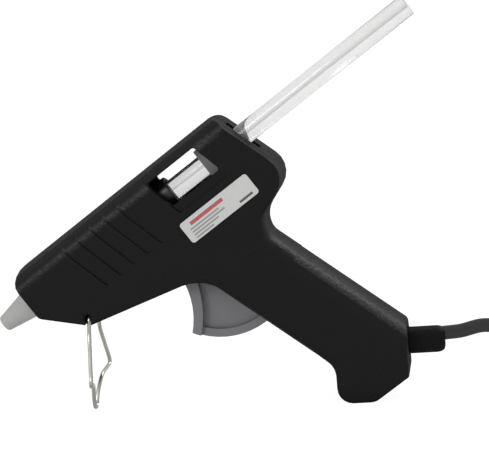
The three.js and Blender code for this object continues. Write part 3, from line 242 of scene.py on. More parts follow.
class Finish:
    """A material whose nodes are added by name."""

    def __init__(self, name, **sockets):
        self.material = bpy.data.materials.new(name)
        self.material.use_nodes = True
        self.tree = self.material.node_tree
        self.shader = self.tree.nodes["Principled BSDF"]
        for key, setting in sockets.items():
            self.set(key.replace("_", " ").title().replace("Ior", "IOR"), setting)

    def set(self, key, setting):
        """Gives one of the shader's sockets a flat setting or a link."""
        target = self.shader.inputs[key]
        if isinstance(setting, Value):
            self.tree.links.new(setting.socket, target)
        elif target.type == "RGBA" and len(setting) == 3:
            target.default_value = (*setting, 1.0)
        else:
            target.default_value = setting

    def value(self, socket):
        return Value(self, socket)

    def node(self, kind, settings=None, inputs=None):
        """Adds a node: its settings come first, then what its sockets take."""
        made = self.tree.nodes.new(kind)
        for key, setting in (settings or {}).items():
            setattr(made, key, setting)
        for key, entry in (inputs or {}).items():
            if isinstance(entry, Value):
                self.tree.links.new(entry.socket, made.inputs[key])
            else:
                made.inputs[key].default_value = entry
        return made

    def place(self, turn=(0, 0, 0), shift=(0, 0, 0)):
        """Where a point lies on the piece, in metres, turned and shifted."""
        where = self.value(self.node("ShaderNodeTexCoord").outputs["Object"])
        inputs = {"Vector": where, "Location": shift, "Rotation": turn}
        return self.value(self.node("ShaderNodeMapping", None, inputs).outputs[0])

    def along_barrel(self):
        """Where a point lies in the barrel's own directions, in metres."""
        back = barrel.inverted()
        return self.place(turn=tuple(back.to_euler()), shift=tuple(back.translation))

    def axes(self, where):
        """The three numbers of a vector."""
        split = self.node("ShaderNodeSeparateXYZ", None, {0: where})
        return [self.value(split.outputs[k]) for k in range(3)]

    def facing(self, blend):
        """0 where the surface faces the eye and 1 at its edge."""
        return self.value(self.node("ShaderNodeLayerWeight", None, {"Blend": blend}).outputs["Facing"])

    def noise(self, size, detail, roughness=0.55):
        """Even grain whose lumps are about the given size in millimetres."""
        scale = 1 / (size * millimetre)
        inputs = {"Vector": self.place(), "Scale": scale, "Detail": detail, "Roughness": roughness}
        return self.value(self.node("ShaderNodeTexNoise", None, inputs).outputs["Fac"])

    def mix(self, factor, first, second):
        """A colour between two colours."""
        first, second = [(*c, 1.0) if isinstance(c, tuple) else c for c in (first, second)]
        inputs = {0: factor, 6: first, 7: second}
        return self.value(self.node("ShaderNodeMix", {"data_type": "RGBA"}, inputs).outputs[2])

    def bump(self, height, depth):
        """Turns a height between 0 and 1 into relief of that depth in millimetres."""
        inputs = {"Height": height, "Distance": depth * millimetre, "Strength": 1.0}
        self.set("Normal", self.value(self.node("ShaderNodeBump", None, inputs).outputs[0]))


frame_finishes = len(bpy.data.materials)
print("finishes that came with the frame:", frame_finishes)

# %% [markdown]
# ## Moulded plastics
#
# The shells come from a spark-eroded mould, which leaves an even grain like very fine leather. The flat flanks
# look almost black, and the round shoulders catch the lamp and show the grain as a mottle. Two sizes of noise
# make the grain: a fine one of about a quarter of a millimetre and a coarser one that still shows in a whole
# view. Slow noise varies the sheen as handling does. A plain gloss would give each shoulder a white rim where it
# is seen at a slant, so a facing weight makes the plastic duller there, as its grain does on the real tool.

# %% Shell, trigger and rubber finishes
coarse_ratio = 3.6
handling_size = 9.0
darkest, lightest = 0.82, 1.2
fine_sheen, slow_sheen = 0.14, 0.1
slant_dullness = 0.65


def moulded(name, colour, roughness, grain=0.3, relief=0.02, specular=0.3, mottle=0.0):
    """A moulded plastic or rubber with fine grain and slow changes of tone and sheen."""
    finish = Finish(name, specular_ior_level=specular)
    fine = finish.noise(grain, 2.0)
    coarse = finish.noise(coarse_ratio * grain, 2.0)
    slow = finish.noise(handling_size, 3.0)
    darker = tuple(darkest * c for c in colour)
    lighter = tuple(min(1.0, lightest * c) for c in colour)
    finish.set("Base Color", finish.mix(slow * 0.6 + fine * 0.4, darker, lighter))
    uneven = (fine - 0.5) * fine_sheen + (slow - 0.5) * slow_sheen
    dull_edge = finish.facing(0.5) ** 2.0 * slant_dullness
    finish.set("Roughness", uneven + (coarse - 0.5) * mottle + dull_edge + roughness)
    finish.bump(fine * 0.25 + coarse * 0.75, relief)
    return finish.material


shell_plastic = moulded(
    "shell_plastic", (0.0026, 0.0026, 0.0028), 0.32, grain=0.28, relief=0.15, specular=0.16, mottle=0.3,
)
trigger_plastic = moulded("trigger_plastic", (0.175, 0.175, 0.185), 0.42, grain=0.16, relief=0.006)
cover_silicone = moulded("cover_silicone", (0.4, 0.4, 0.395), 0.55, relief=0.012, specular=0.35)
sleeve_rubber = moulded("sleeve_rubber", (0.006, 0.006, 0.006), 0.34, relief=0.01, specular=0.5)
relief_rubber = moulded("relief_rubber", (0.003, 0.003, 0.0032), 0.5, specular=0.1)
cord_plastic = moulded("cord_plastic", (0.003, 0.003, 0.003), 0.12, grain=1.4, relief=0.006, specular=0.5)
plug_plastic = moulded("plug_plastic", (0.008, 0.008, 0.0085), 0.4)
print("finishes so far:", len(bpy.data.materials) - frame_finishes)

# %% [markdown]
# ## Metals
#
# The wire is nickel plated and drawn, so small marks break its sheen. The screws are bright zinc, the nozzle is
# turned brass, and the chamber is cast aluminium with a coarser skin. One helper makes them all.

# %% Metal finishes
wire_grain = 0.4
tarnish_size = 4.0
tarnish_level = 0.78
sleeved_share = 0.52


def metal(name, colour, roughness, grain=wire_grain, relief=0.004):
    """A metal with fine marks in its sheen and slow changes of tone."""
    finish = Finish(name, metallic=1.0)
    marks = finish.noise(grain, 4.0, 0.7)
    tarnish = finish.noise(tarnish_size, 2.0)
    darker = tuple(tarnish_level * c for c in colour)
    finish.set("Base Color", finish.mix(tarnish, darker, colour))
    finish.set("Roughness", (marks - 0.5) * 0.25 + roughness)
    finish.bump(marks, relief)
    return finish.material


def plug_pin_finish():
    """A nickelled pin whose root wears a black sleeve, as flat mains plugs have."""
    finish = Finish("plug_pin_metal")
    pin_low, pin_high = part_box("plug_pin_1")
    sleeve_end = pin_low[0] + sleeved_share * (pin_high[0] - pin_low[0])
    bare = finish.axes(finish.place())[0] > sleeve_end
    marks = finish.noise(wire_grain, 4.0, 0.7)
    finish.set("Base Color", finish.mix(bare, (0.008, 0.008, 0.008), (0.68, 0.67, 0.64)))
    finish.set("Metallic", bare)
    finish.set("Roughness", (marks - 0.5) * 0.2 + 0.28)
    return finish.material


nickel_wire = metal("nickel_wire", (0.5, 0.485, 0.44), 0.26)
bright_steel = metal("bright_steel", (0.6, 0.6, 0.6), 0.3)
turned_brass = metal("turned_brass", (0.62, 0.44, 0.19), 0.3)
cast_aluminium = metal("cast_aluminium", (0.62, 0.63, 0.64), 0.48, grain=0.7, relief=0.03)
plug_pin_metal = plug_pin_finish()
print("finishes so far:", len(bpy.data.materials) - frame_finishes)

# %% [markdown]
# ## Glue
#
# The stick is a clear wax-like plastic. Against a pale ground its middle looks white and its edges look grey,
# because there the light passes through it slantwise. Most of its light goes through the shader's transmission,
# and a facing weight paints that grey shade into the colour at the edges, darkest along the upper edge. Slow noise
# gives the cloudy streaks of a cast stick.

# %% Glue finish
cloud_size, swell_size = 4.0, 5.0
upper_shade_height = 2.2 * millimetre
# Strengths of the shade painted into the colour at the stick's lower and upper edges.
lower_painted_shade, upper_painted_shade = 0.2, 0.75


def glue_finish():
    finish = Finish("glue", specular_ior_level=0.5, transmission_weight=0.85, ior=1.46)
    cloud = finish.noise(cloud_size, 3.0)
    # Painted shade: the colour greys towards the stick's edges as the eye sees them, most above the upper height.
    up = finish.axes(finish.along_barrel())[2] > upper_shade_height
    edge = finish.facing(0.3) ** 4.0 * (up * upper_painted_shade + lower_painted_shade)
    clear = finish.mix(cloud, (0.87, 0.87, 0.865), (0.93, 0.93, 0.925))
    finish.set("Base Color", finish.mix(edge, clear, (0.1, 0.1, 0.1)))
    finish.set("Roughness", (cloud - 0.5) * 0.04 + 0.06)
    finish.bump(finish.noise(swell_size, 2.0), 0.001)
    return finish.material


glue_stick_finish = glue_finish()
print("glue finish:", glue_stick_finish.name)

# %% [markdown]
# ## Label
#
# The rating label's place holds a plain printed plate with nothing to read: a red rule, four grey rules and a
# dark bar. Each rule is a mask, worked out from where a point lies along the barrel.

# %% Label finish
label_front, label_length = 56.8, 27.4
label_bottom, label_height = -17.2, 7.6
label_red = (0.42, 0.03, 0.035)
label_grey = (0.24, 0.24, 0.24)
label_dark = (0.02, 0.02, 0.022)
label_rules = (
    ((0.12, 0.60), (0.66, 0.82), label_red),
    ((0.08, 0.50), (0.50, 0.57), label_grey),
    ((0.08, 0.56), (0.36, 0.43), label_grey),
    ((0.08, 0.44), (0.22, 0.29), label_grey),
    ((0.08, 0.34), (0.08, 0.15), label_grey),
    ((0.74, 0.93), (0.12, 0.22), label_dark),
)


def label_finish():
    finish = Finish("label_print", specular_ior_level=0.35)
    x, _, z = finish.axes(finish.along_barrel())
    along = x * (1 / (label_length * millimetre)) - label_front / label_length
    across = z * (1 / (label_height * millimetre)) - label_bottom / label_height
    paper = finish.noise(0.6, 3.0)
    colour = finish.mix(paper, (0.53, 0.54, 0.52), (0.64, 0.645, 0.63))
    for (start, end), (low, high), ink in label_rules:
        mask = (along > start) * (along < end) * (across > low) * (across < high)
        colour = finish.mix(mask * (0.75 + paper * 0.25), colour, ink)
    finish.set("Base Color", colour)
    finish.set("Roughness", (paper - 0.5) * 0.1 + 0.38)
    return finish.material


label_print = label_finish()
print("rules on the label:", len(label_rules))

# %% [markdown]
# ## Film, ceramic and leads
#
# The heater hides inside the housing: amber film round a ceramic element, with leads in braided sleeves. They
# show only where the housing is cut open, so the moulded finish serves them too, with their own grain.

# %% Inner finishes
insulating_film = moulded("insulating_film", (0.42, 0.2, 0.04), 0.3, grain=0.6, relief=0.004)
fired_ceramic = moulded("fired_ceramic", (0.14, 0.14, 0.13), 0.7, grain=0.2, relief=0.01)
lead_sleeving = moulded("lead_sleeving", (0.4, 0.39, 0.36), 0.7, grain=0.35, relief=0.05)
print("finishes so far:", len(bpy.data.materials) - frame_finishes)

# %% [markdown]
# ## The cord
#
# A flat twin cord leaves the strain relief, dips to the bench outside the picture and is put away as a tied
# hank with its plug. Its centreline is the route that the frame's solids follow: given points to the
# hank, loops worked out by a formula, and a short run to the plug. The section is two round cores whose covers
# run into each other, and it stands on edge.

# %% Cord sizes
cord_length = 1200 * millimetre
cord_width = 4.6 * millimetre
cord_thickness = 2.8 * millimetre
fit_gap = 0.3 * millimetre
hank_turns = 6
run_share = 0.3
climb_share = 0.1
hank_total = hank_turns + run_share
hank_pitch = 3.8 * millimetre
hank_rise = 5.4 * millimetre
fold_radius = 17 * millimetre
hank_draw = 3.5 * millimetre
hank_start = 118 * millimetre
tie_thickness = 1.2 * millimetre
rest_height = cord_width / 2 + fit_gap
hank_front = hank_start + fold_radius
upper_level = rest_height + hank_rise
plug_low, plug_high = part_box("plug_body")
plug_level = (plug_low[2] + plug_high[2]) / 2
tail_reach = 1.6 * fold_radius + 12 * millimetre

lead_points = [
    (73.3, 0, 19.3), (78, 0, 19.6), (86, 0, 21), (94, -1, 19.2), (101, -4, 12.5), (107, -9, 6), (113, -13.5, 3.1),
]
lead_points = [tuple(v * millimetre for v in p) for p in lead_points]
hidden_start = (71.4 * millimetre, 0, 19.2 * millimetre)
lead_points += [
    (hank_front - fold_radius * 0.6, -fold_radius, rest_height),
    (hank_front - fit_gap, -fold_radius, rest_height),
]
tail_points = [
    (fit_gap, -fold_radius, upper_level),
    (fold_radius * 0.5, -fold_radius, upper_level),
    (fold_radius * 1.1, -fold_radius * 0.75, upper_level),
    (fold_radius * 1.7, -fold_radius * 0.2, plug_level),
    (tail_reach - cord_width - fit_gap, 0, plug_level),
    (tail_reach - fit_gap, 0, plug_level),
]
print("points given for the route:", len(lead_points) + len(tail_points))

# %% Smooth curve through points
def spline(points, steps):
    """Points along a centripetal Catmull-Rom curve through the given ones."""
    points = [Vector(p) for p in points]
    ends = [points[0] * 2 - points[1], *points, points[-1] * 2 - points[-2]]
    line = []
    for a, b, c, d in zip(ends, ends[1:], ends[2:], ends[3:]):
        knots = [0.0]
        for p, q in ((a, b), (b, c), (c, d)):
            knots.append(knots[-1] + max((q - p).length, 1e-9) ** 0.5)
        t0, t1, t2, t3 = knots
        for k in range(steps):
            t = t1 + (t2 - t1) * k / steps
            ab = a * ((t1 - t) / (t1 - t0)) + b * ((t - t0) / (t1 - t0))
            bc = b * ((t2 - t) / (t2 - t1)) + c * ((t - t1) / (t2 - t1))
            cd = c * ((t3 - t) / (t3 - t2)) + d * ((t - t2) / (t3 - t2))
            abc = ab * ((t2 - t) / (t2 - t0)) + bc * ((t - t0) / (t2 - t0))
            bcd = bc * ((t3 - t) / (t3 - t1)) + cd * ((t - t1) / (t3 - t1))
            line.append(abc * ((t2 - t) / (t2 - t1)) + bcd * ((t - t1) / (t2 - t1)))
    return [*line, points[-1]]


def route_length(points):
    return sum((q - p).length for p, q in zip(points, points[1:]))


run_steps = 14
lead_line = spline(lead_points, run_steps)
tail_line = spline(tail_points, run_steps)
print("lead and tail:", [round(route_length(line), 3) for line in (lead_line, tail_line)], "m")

# %% Hank loops
def smooth_step(share):
    share = min(1.0, max(0.0, share))
    return share * share * (3 - 2 * share)


def hank_point(turn, run):
    """One point of the wound cord: inwards in the lower layer, outwards in the upper one."""
    radius = fold_radius - hank_pitch * min(turn, hank_total - turn)
    climb = smooth_step((turn - hank_total / 2 + climb_share / 2) / climb_share)
    phase = turn - math.floor(turn)
    fold = 0.5 - run_share
    if phase < run_share:
        x, y = run * (phase / run_share - 0.5), -radius
    elif phase < 0.5:
        angle = -math.pi / 2 + math.pi * (phase - run_share) / fold
        x, y = run / 2 + radius * math.cos(angle), radius * math.sin(angle)
    elif phase < 0.5 + run_share:
        x, y = run * (0.5 - (phase - 0.5) / run_share), radius
    else:
        angle = math.pi / 2 + math.pi * (phase - 0.5 - run_share) / fold
        x, y = -run / 2 + radius * math.cos(angle), radius * math.sin(angle)
    waist = smooth_step(1 - abs(x) / (run / 2))
    y -= math.copysign(waist * hank_draw, y) if y else 0
    return Vector((x, y, rest_height + waist * (tie_thickness + fit_gap) + climb * hank_rise))


def hank_route(run, per_turn):
    steps = round(hank_total * per_turn)
    return [hank_point(hank_total * k / steps, run) for k in range(steps + 1)]


measured_steps, meshed_steps = 96, 60
halvings = 40
wound_length = cord_length - route_length(lead_line) - route_length(tail_line)
short, long = fold_radius, cord_length
for _ in range(halvings):
    run = (short + long) / 2
    if route_length(hank_route(run, measured_steps)) < wound_length:
        short = run
    else:
        long = run
hank_centre = hank_front + run / 2
hank_end = hank_centre + run / 2
hank_line = [p + Vector((hank_centre, 0, 0)) for p in hank_route(run, meshed_steps)]
tail_line = [p + Vector((hank_end, 0, 0)) for p in tail_line]
cord_line = [Vector(hidden_start)] + lead_line[:-1] + hank_line + tail_line[1:]
print("hank run", round(run / millimetre, 1), "mm, cord", round(route_length(cord_line), 4), "m")

# %% [markdown]
# A curve with a bevel object would also make a cord, but its flat section would roll in the bends. Here one ring
# of edges in the section's shape is extruded from place to place along the route, and each ring is set with its
# wide side upright. The same helper makes the cutters of the shells further down. An extrusion leaves its points
# in an order that changes from run to run, so they are sorted by place, and the result stays the same.

# %% Extrude a ring from place to place
sorting_direction = Vector((1, math.sqrt(2), math.sqrt(3)))


def in_order(shape):
    """Faces a closed shape outwards and gives its points, edges and faces a fixed order by place."""
    bmesh.ops.recalc_face_normals(shape, faces=shape.faces)
    shape.verts.sort(key=lambda vert: vert.co.dot(sorting_direction))
    for parts in (shape.edges, shape.faces):
        parts.sort(key=lambda part: sum(vert.co.dot(sorting_direction) for vert in part.verts) / len(part.verts))
    return shape


def swept(rings):
    """A closed solid through rings of points: one ring of edges is extruded on from each to the next."""
    shape = bmesh.new()
    first = verts = [shape.verts.new(p) for p in rings[0]]
    edges = [shape.edges.new(pair) for pair in zip(verts, verts[1:] + verts[:1])]
    for ring in rings[1:]:
        grown = bmesh.ops.extrude_edge_only(shape, edges=edges)["geom"]
        fresh = {v for v in grown if isinstance(v, bmesh.types.BMVert)}
        verts = [next(e.other_vert(v) for e in v.link_edges if e.other_vert(v) in fresh) for v in verts]
        for vert, place in zip(verts, ring):
            vert.co = place
        edges = [shape.edges.get(pair) for pair in zip(verts, verts[1:] + verts[:1])]
    for end in (first, verts):
        shape.faces.new(end)
    return in_order(shape)


print("sweep ready")

# %% Cord mesh
core_steps = 14


def twin_section():
    """Two round cores side by side that run into each other, as (across, upright) pairs."""
    radius = cord_thickness / 2
    offset = cord_width / 2 - radius
    lean = math.asin(offset / radius)
    section = []
    for middle, level in ((math.pi / 2, offset), (-math.pi / 2, -offset)):
        for k in range(core_steps):
            angle = middle - math.pi / 2 - lean + (math.pi + 2 * lean) * k / core_steps
            section.append((radius * math.cos(angle), level + radius * math.sin(angle)))
    return section


def cord_rings(section):
    """The section at every point of the route, with its long side upright."""
    rings = []
    for last, centre, ahead in zip([cord_line[0], *cord_line], cord_line, [*cord_line[1:], cord_line[-1]]):
        tangent = (ahead - last).normalized()
        side = Vector((0, 0, 1)).cross(tangent).normalized()
        up = tangent.cross(side)
        rings.append([centre + side * a + up * b for a, b in section])
    return rings


cord_shape = swept(cord_rings(twin_section()))
cord = from_bmesh("mains_cord", cord_shape, "housing", ("cord_lead", "cord_hank", "cord_tail"), cord_plastic)
print("cord faces:", len(cord.data.polygons))

# %% [markdown]
# ## Shells, trigger and other moulded pieces
#
# The two shells, the trigger and the smaller mouldings have the right shape in the frame. Each gets a copy whose
# real edges carry a small round, because a moulded edge is never knife sharp, and the round catches a thin
# light. The housing's seam, window, grooves and screw seats come with the shells.

# %% Raise the window's sill
sill_stations = (57, 80)
sill_levels = (-5.05, -4.1)
sill_rise = 1.3
window_lean = math.tan(math.radians(13))
inner_cheek = 10.01


def raise_sill(piece):
    """Moves the lower edge of a shell's inner window opening up to the stick's underside."""
    back = barrel.inverted()
    moved = 0
    for vert in piece.data.vertices:
        place = back @ vert.co / millimetre
        inside = abs(place.y) < inner_cheek and sill_stations[0] < place.x < sill_stations[1]
        if inside and sill_levels[0] < place.z < sill_levels[1]:
            place += Vector((-sill_rise * window_lean, 0, sill_rise))
            vert.co = barrel @ (place * millimetre)
            moved += 1
    return moved


print("window leans by", round(window_lean, 3))

# %% [markdown]
# In the frame the barrel and the grip are two forms that cross, so their rounds meet in a step at the neck and
# at the heel. On a moulded shell the round runs on along the edge and only changes its size, which a bevel
# can't do. So a cutter is swept along the outline: the space outside a rounded slab, whose round grows or
# shrinks on the way. A Boolean takes it off the shells and is applied at once. The cut would open the thin wall
# at the neck, so a thin band is added just under the new skin. A wedge fills the corner over the trigger.

# %% Sections of cutter and lining
housing_half = 11
cutter_reach = 1.6
cutter_depth = 0.4
clear_of_skin = 0.02
lining_depth = 0.05
lining_thickness = 1.2
seam_half = 0.15
corner_steps = 12
corner_turns = [math.pi / 2 * k / corner_steps for k in range(corner_steps + 1)]


def on_outline(point, outward, ring):
    """Puts a ring of (outward, sideways) points at a place of the outline."""
    base = Vector((point[0], 0, point[1]))
    return [barrel @ ((base + Vector((outward[0] * n, y, outward[1] * n))) * millimetre) for n, y in ring]


def cutter_ring(point, outward, radius):
    """The outside of a rounded slab at one place of the outline, as a ring of points."""
    far, deep, shoulder = housing_half + 1, -radius - cutter_depth, housing_half - radius
    ring = [(cutter_reach, -far), (cutter_reach, far), (deep, far)]
    ring += [(-radius + radius * math.sin(a), shoulder + radius * math.cos(a)) for a in corner_turns]
    ring += [(-radius + radius * math.cos(a), -shoulder - radius * math.sin(a)) for a in corner_turns]
    ring += [(deep, -far)]
    return on_outline(point + outward * clear_of_skin, outward, ring)


def lining_ring(point, outward, radius, side):
    """A thin band just under the rounded slab's skin, on one side of the seam, as a ring of points."""
    shoulder = housing_half - radius
    outer, inner = radius - lining_depth, radius - lining_depth - lining_thickness
    ring = [(-lining_depth, seam_half)]
    ring += [(-radius + outer * math.cos(a), shoulder + outer * math.sin(a)) for a in corner_turns]
    ring += [(-radius + inner * math.cos(a), shoulder + inner * math.sin(a)) for a in reversed(corner_turns)]
    ring += [(-lining_depth - lining_thickness, seam_half)]
    return on_outline(point, outward, [(n, side * y) for n, y in ring])


print("points in a corner:", len(corner_turns))

# %% Places along the outline
def outline_stations(corner, lines, radius, reach, rounds, change, steps=16):
    """Places, outward directions and rounds along two lines and the arc between them, in the side view."""
    before, after = (line.normalized() for line in lines)
    half_angle = before.angle(after) / 2
    bend = radius / math.tan(half_angle)
    corner = Vector(corner)
    centre = corner + (before + after).normalized() * (radius / math.sin(half_angle))
    start, end = corner + before * bend, corner + after * bend
    out_start, out_end = (centre - start).normalized(), (centre - end).normalized()
    stations = [(start + before * reach[0] * (1 - k / steps), out_start) for k in range(steps)]
    for k in range(steps + 1):
        out = out_start.lerp(out_end, k / steps).normalized()
        stations.append((centre - out * radius, out))
    stations += [(end + after * reach[1] * k / steps, out_end) for k in range(1, steps + 1)]
    lengths = [0.0]
    for (a, _), (b, _) in zip(stations, stations[1:]):
        lengths.append(lengths[-1] + (b - a).length)
    shares = [smooth_step((length - change[0]) / (change[1] - change[0])) for length in lengths]
    return [(point, out, rounds[0] + (rounds[1] - rounds[0]) * s) for (point, out), s in zip(stations, shares)]


rear_line = Vector((0.9343, 0.3566))
grip_line = Vector((0.304, -0.9527))
butt_line = Vector((-0.5606, -0.8281))
neck_stations = outline_stations((76.5, -25.3), (rear_line, grip_line), 7.0, (9, 9), (0.6, 6.95), (3, 19))
heel_stations = outline_stations((67.42, -76.84), (-grip_line, butt_line), 6.0, (6, 5), (2.5, 0.6), (3, 13))
print("places at the neck and the heel:", len(neck_stations), len(heel_stations))

# %% Cutters for the neck and the heel
least_lined_round = 2


def carve(piece, shape, operation):
    """Takes a shape off a piece, or adds it, and applies the result at once."""
    mesh = bpy.data.meshes.new("cutter")
    shape.to_mesh(mesh)
    shape.free()
    cutter = bpy.data.objects.new("cutter", mesh)
    bpy.context.scene.collection.objects.link(cutter)
    modifier = piece.modifiers.new("carve", "BOOLEAN")
    modifier.operation = operation
    modifier.solver = "EXACT"
    modifier.object = cutter
    view = bpy.context.evaluated_depsgraph_get()
    made = bpy.data.meshes.new_from_object(piece.evaluated_get(view))
    piece.modifiers.remove(modifier)
    piece.data = made
    bpy.data.objects.remove(cutter)


def cut_of(stations):
    return swept([cutter_ring(*station) for station in stations])


def neck_lining(side):
    """The band under the neck's round on one side of the seam, where the round is wide enough to open the wall."""
    return swept([lining_ring(*station, side) for station in neck_stations if station[2] > least_lined_round])


print("places with a lining:", sum(station[2] > least_lined_round for station in neck_stations))

# %% Fill the corner over the trigger
arch_centre = (41.83, -37.79)
arch_radius = 12.5
arch_start, arch_end = math.radians(64), math.radians(17)
arch_steps = 14
arch_inside = [(54.6, -33.4), (53.4, -29.6), (51.6, -27.4)]
cheek_inner = 5.05
cheek_at_barrel, cheek_at_grip = 10.2, 8.45


def arch_filling(side):
    """A wedge that rounds the corner over the trigger on one side of the slot, and narrows to the grip's round."""
    turns = [arch_start + (arch_end - arch_start) * k / arch_steps for k in range(arch_steps + 1)]
    ring = [(arch_centre[0] + arch_radius * math.cos(a), arch_centre[1] + arch_radius * math.sin(a)) for a in turns]
    near = side * cheek_inner * millimetre
    shape = bmesh.new()
    sheet = shape.faces.new([shape.verts.new((x * millimetre, near, z * millimetre)) for x, z in ring + arch_inside])
    grown = bmesh.ops.extrude_face_region(shape, geom=[sheet])["geom"]
    for vert in (v for v in grown if isinstance(v, bmesh.types.BMVert)):
        turn = math.atan2(vert.co.z / millimetre - arch_centre[1], vert.co.x / millimetre - arch_centre[0])
        share = smooth_step((arch_start - turn) / (arch_start - arch_end))
        vert.co.y = side * (cheek_at_barrel + (cheek_at_grip - cheek_at_barrel) * share) * millimetre
    bmesh.ops.transform(shape, matrix=barrel, verts=shape.verts)
    bmesh.ops.triangulate(shape, faces=shape.faces)
    return in_order(shape)


print("arch radius:", arch_radius, "mm")

# %% Both shells
shell_edge = 0.3


def finished_shell(node, side):
    """A shell with its sill raised, its neck and heel rounded and its corner over the trigger filled."""
    shell = softened(node, "housing", shell_plastic, edge=0)
    before = len(shell.data.polygons)
    print("sill points moved:", raise_sill(shell))
    carve(shell, cut_of(neck_stations), "DIFFERENCE")
    carve(shell, cut_of(heel_stations), "DIFFERENCE")
    carve(shell, neck_lining(side), "UNION")
    carve(shell, arch_filling(side), "UNION")
    soft_edges(shell, shell_edge)
    print(shell.name, "faces:", before, "to", len(shell.data.polygons))


finished_shell("left_shell", -1)
finished_shell("right_shell", 1)

# %% Softened mouldings
mouldings = {
    "trigger": ("trigger", trigger_plastic, "trigger", 0.4, 3),
    "feed_collar": ("feed", trigger_plastic, "trigger", 0.3, 3),
    "strain_relief": ("housing", relief_rubber, "rubber", 0.5, 3),
    "plug_body": ("housing", plug_plastic, "rubber", 0.6, 3),
    "label_plate": ("housing", label_print, "label", 0.08, 2),
    "cord_tie": ("housing", relief_rubber, "rubber", 0.3, 2),
}
for node, (body, material, slot, edge, segments) in mouldings.items():
    softened(node, body, material, edge, segments)

# %% [markdown]
# ## Wire stand
#
# The stand is one length of drawn wire, bent cold into two legs with a kink and a foot. The frame's tube has
# eight sides, so a subdivision surface rounds it, and its bends become as smooth as real ones.

# %% Round wire
stand = softened("wire_stand", "stand", nickel_wire, edge=0)
rounder = stand.modifiers.new("round wire", "SUBSURF")
rounder.levels = 2
rounder.render_levels = 2
print("wire stand faces:", len(stand.data.polygons))

# %% [markdown]
# ## Turned pieces
#
# The silicone cone, the rubber sleeve and the glue stick are round about the barrel. Each starts as a half
# section of a few points, which a spin carries once round the axis, and then goes to its place with the barrel's
# matrix. Points close together at a corner make its small round. The stick's section ends on the axis, so its
# outline stays open and the spin closes its two ends.

# %% Spin a half section about the barrel
corner_angle = math.radians(40)
merge_reach = 0.001 * millimetre


def turned(name, section, body, replaced, material, closed=True, steps=72):
    """Spins (station, radius) points in millimetres once round the barrel's axis."""
    shape = bmesh.new()
    verts = [shape.verts.new((x * millimetre, 0, r * millimetre)) for x, r in section]
    pairs = list(zip(verts, verts[1:])) + ([(verts[-1], verts[0])] if closed else [])
    edges = [shape.edges.new(pair) for pair in pairs]
    bmesh.ops.spin(
        shape, geom=verts + edges, axis=(1, 0, 0), cent=(0, 0, 0), angle=2 * math.pi, steps=steps, use_merge=True,
    )
    bmesh.ops.remove_doubles(shape, verts=shape.verts, dist=merge_reach)
    bmesh.ops.transform(shape, matrix=barrel, verts=shape.verts)
    piece = from_bmesh(name, in_order(shape), body, (replaced,), material)
    piece.data.set_sharp_from_angle(angle=corner_angle)
    return piece


print("spin ready")

# %% Silicone cone over the nozzle
cover_section = [
    (-11.9, 1.3), (-12.3, 1.34), (-12.46, 1.5), (-12.5, 1.8), (-12.5, 2.3), (-12.42, 2.55), (-12.2, 2.72),
    (-11.6, 2.84), (-8.0, 3.51), (-4.0, 4.26), (-0.5, 4.95), (-0.12, 5.05), (0.0, 4.98), (0.0, 4.5), (3.0, 4.5),
    (3.0, 3.7), (0.0, 3.7), (-11.9, 1.9),
]
turned("nozzle_cone", cover_section, "housing", "nozzle_cover", cover_silicone)
print("cone points:", len(cover_section))

# %% Rubber sleeve round the stick
sleeve_section = [
    (39.2, 5.2), (39.2, 6.65), (39.35, 6.8), (45.05, 6.8), (45.3, 6.7), (46.7, 5.55), (47.1, 5.4), (50.8, 5.4),
    (51.0, 5.3), (51.2, 5.4), (59.85, 5.4), (60.15, 5.33), (60.3, 5.1), (60.3, 4.2), (60.2, 3.98), (59.9, 3.9),
    (44.4, 3.9), (44.4, 5.2),
]
sleeve = turned("rubber_sleeve", sleeve_section, "housing", "inlet_sleeve", sleeve_rubber)
print("sleeve faces:", len(sleeve.data.polygons))

# %% Glue stick
stick_section = [
    (56.4, 0), (56.4, 3.3), (56.45, 3.5), (56.65, 3.6), (85, 3.6), (120, 3.6), (156.2, 3.6), (156.36, 3.54),
    (156.4, 3.4), (156.4, 0),
]
stick = turned("clear_stick", stick_section, "feed", "glue_stick", glue_stick_finish, closed=False)
print("stick faces:", len(stick.data.polygons))

# %% [markdown]
# ## Finishes of the nodes that stay
#
# The pieces inside, the screws and the plug's pins keep their solids and get their finish.

# %% Finishes by node
kept = {
    bright_steel: ["housing_screw_1", "housing_screw_2", "housing_screw_3", "housing_screw_4", "clamp_screw_1",
                   "clamp_screw_2", "sleeve_clamp", "trigger_pin", "return_spring"],
    plug_pin_metal: ["plug_pin_1", "plug_pin_2"],
    turned_brass: ["nozzle", "upper_contact_plate", "lower_contact_plate", "live_crimp", "neutral_crimp"],
    cast_aluminium: ["melt_chamber"],
    insulating_film: ["heater_wrap"],
    fired_ceramic: ["heating_element"],
    lead_sleeving: ["live_lead", "neutral_lead"],
    trigger_plastic: ["cord_clamp"],
}
for material, names in kept.items():
    for name in names:
        nodes[name].data.materials.clear()
        nodes[name].data.materials.append(material)
print("nodes that stay:", sum(len(names) for names in kept.values()))
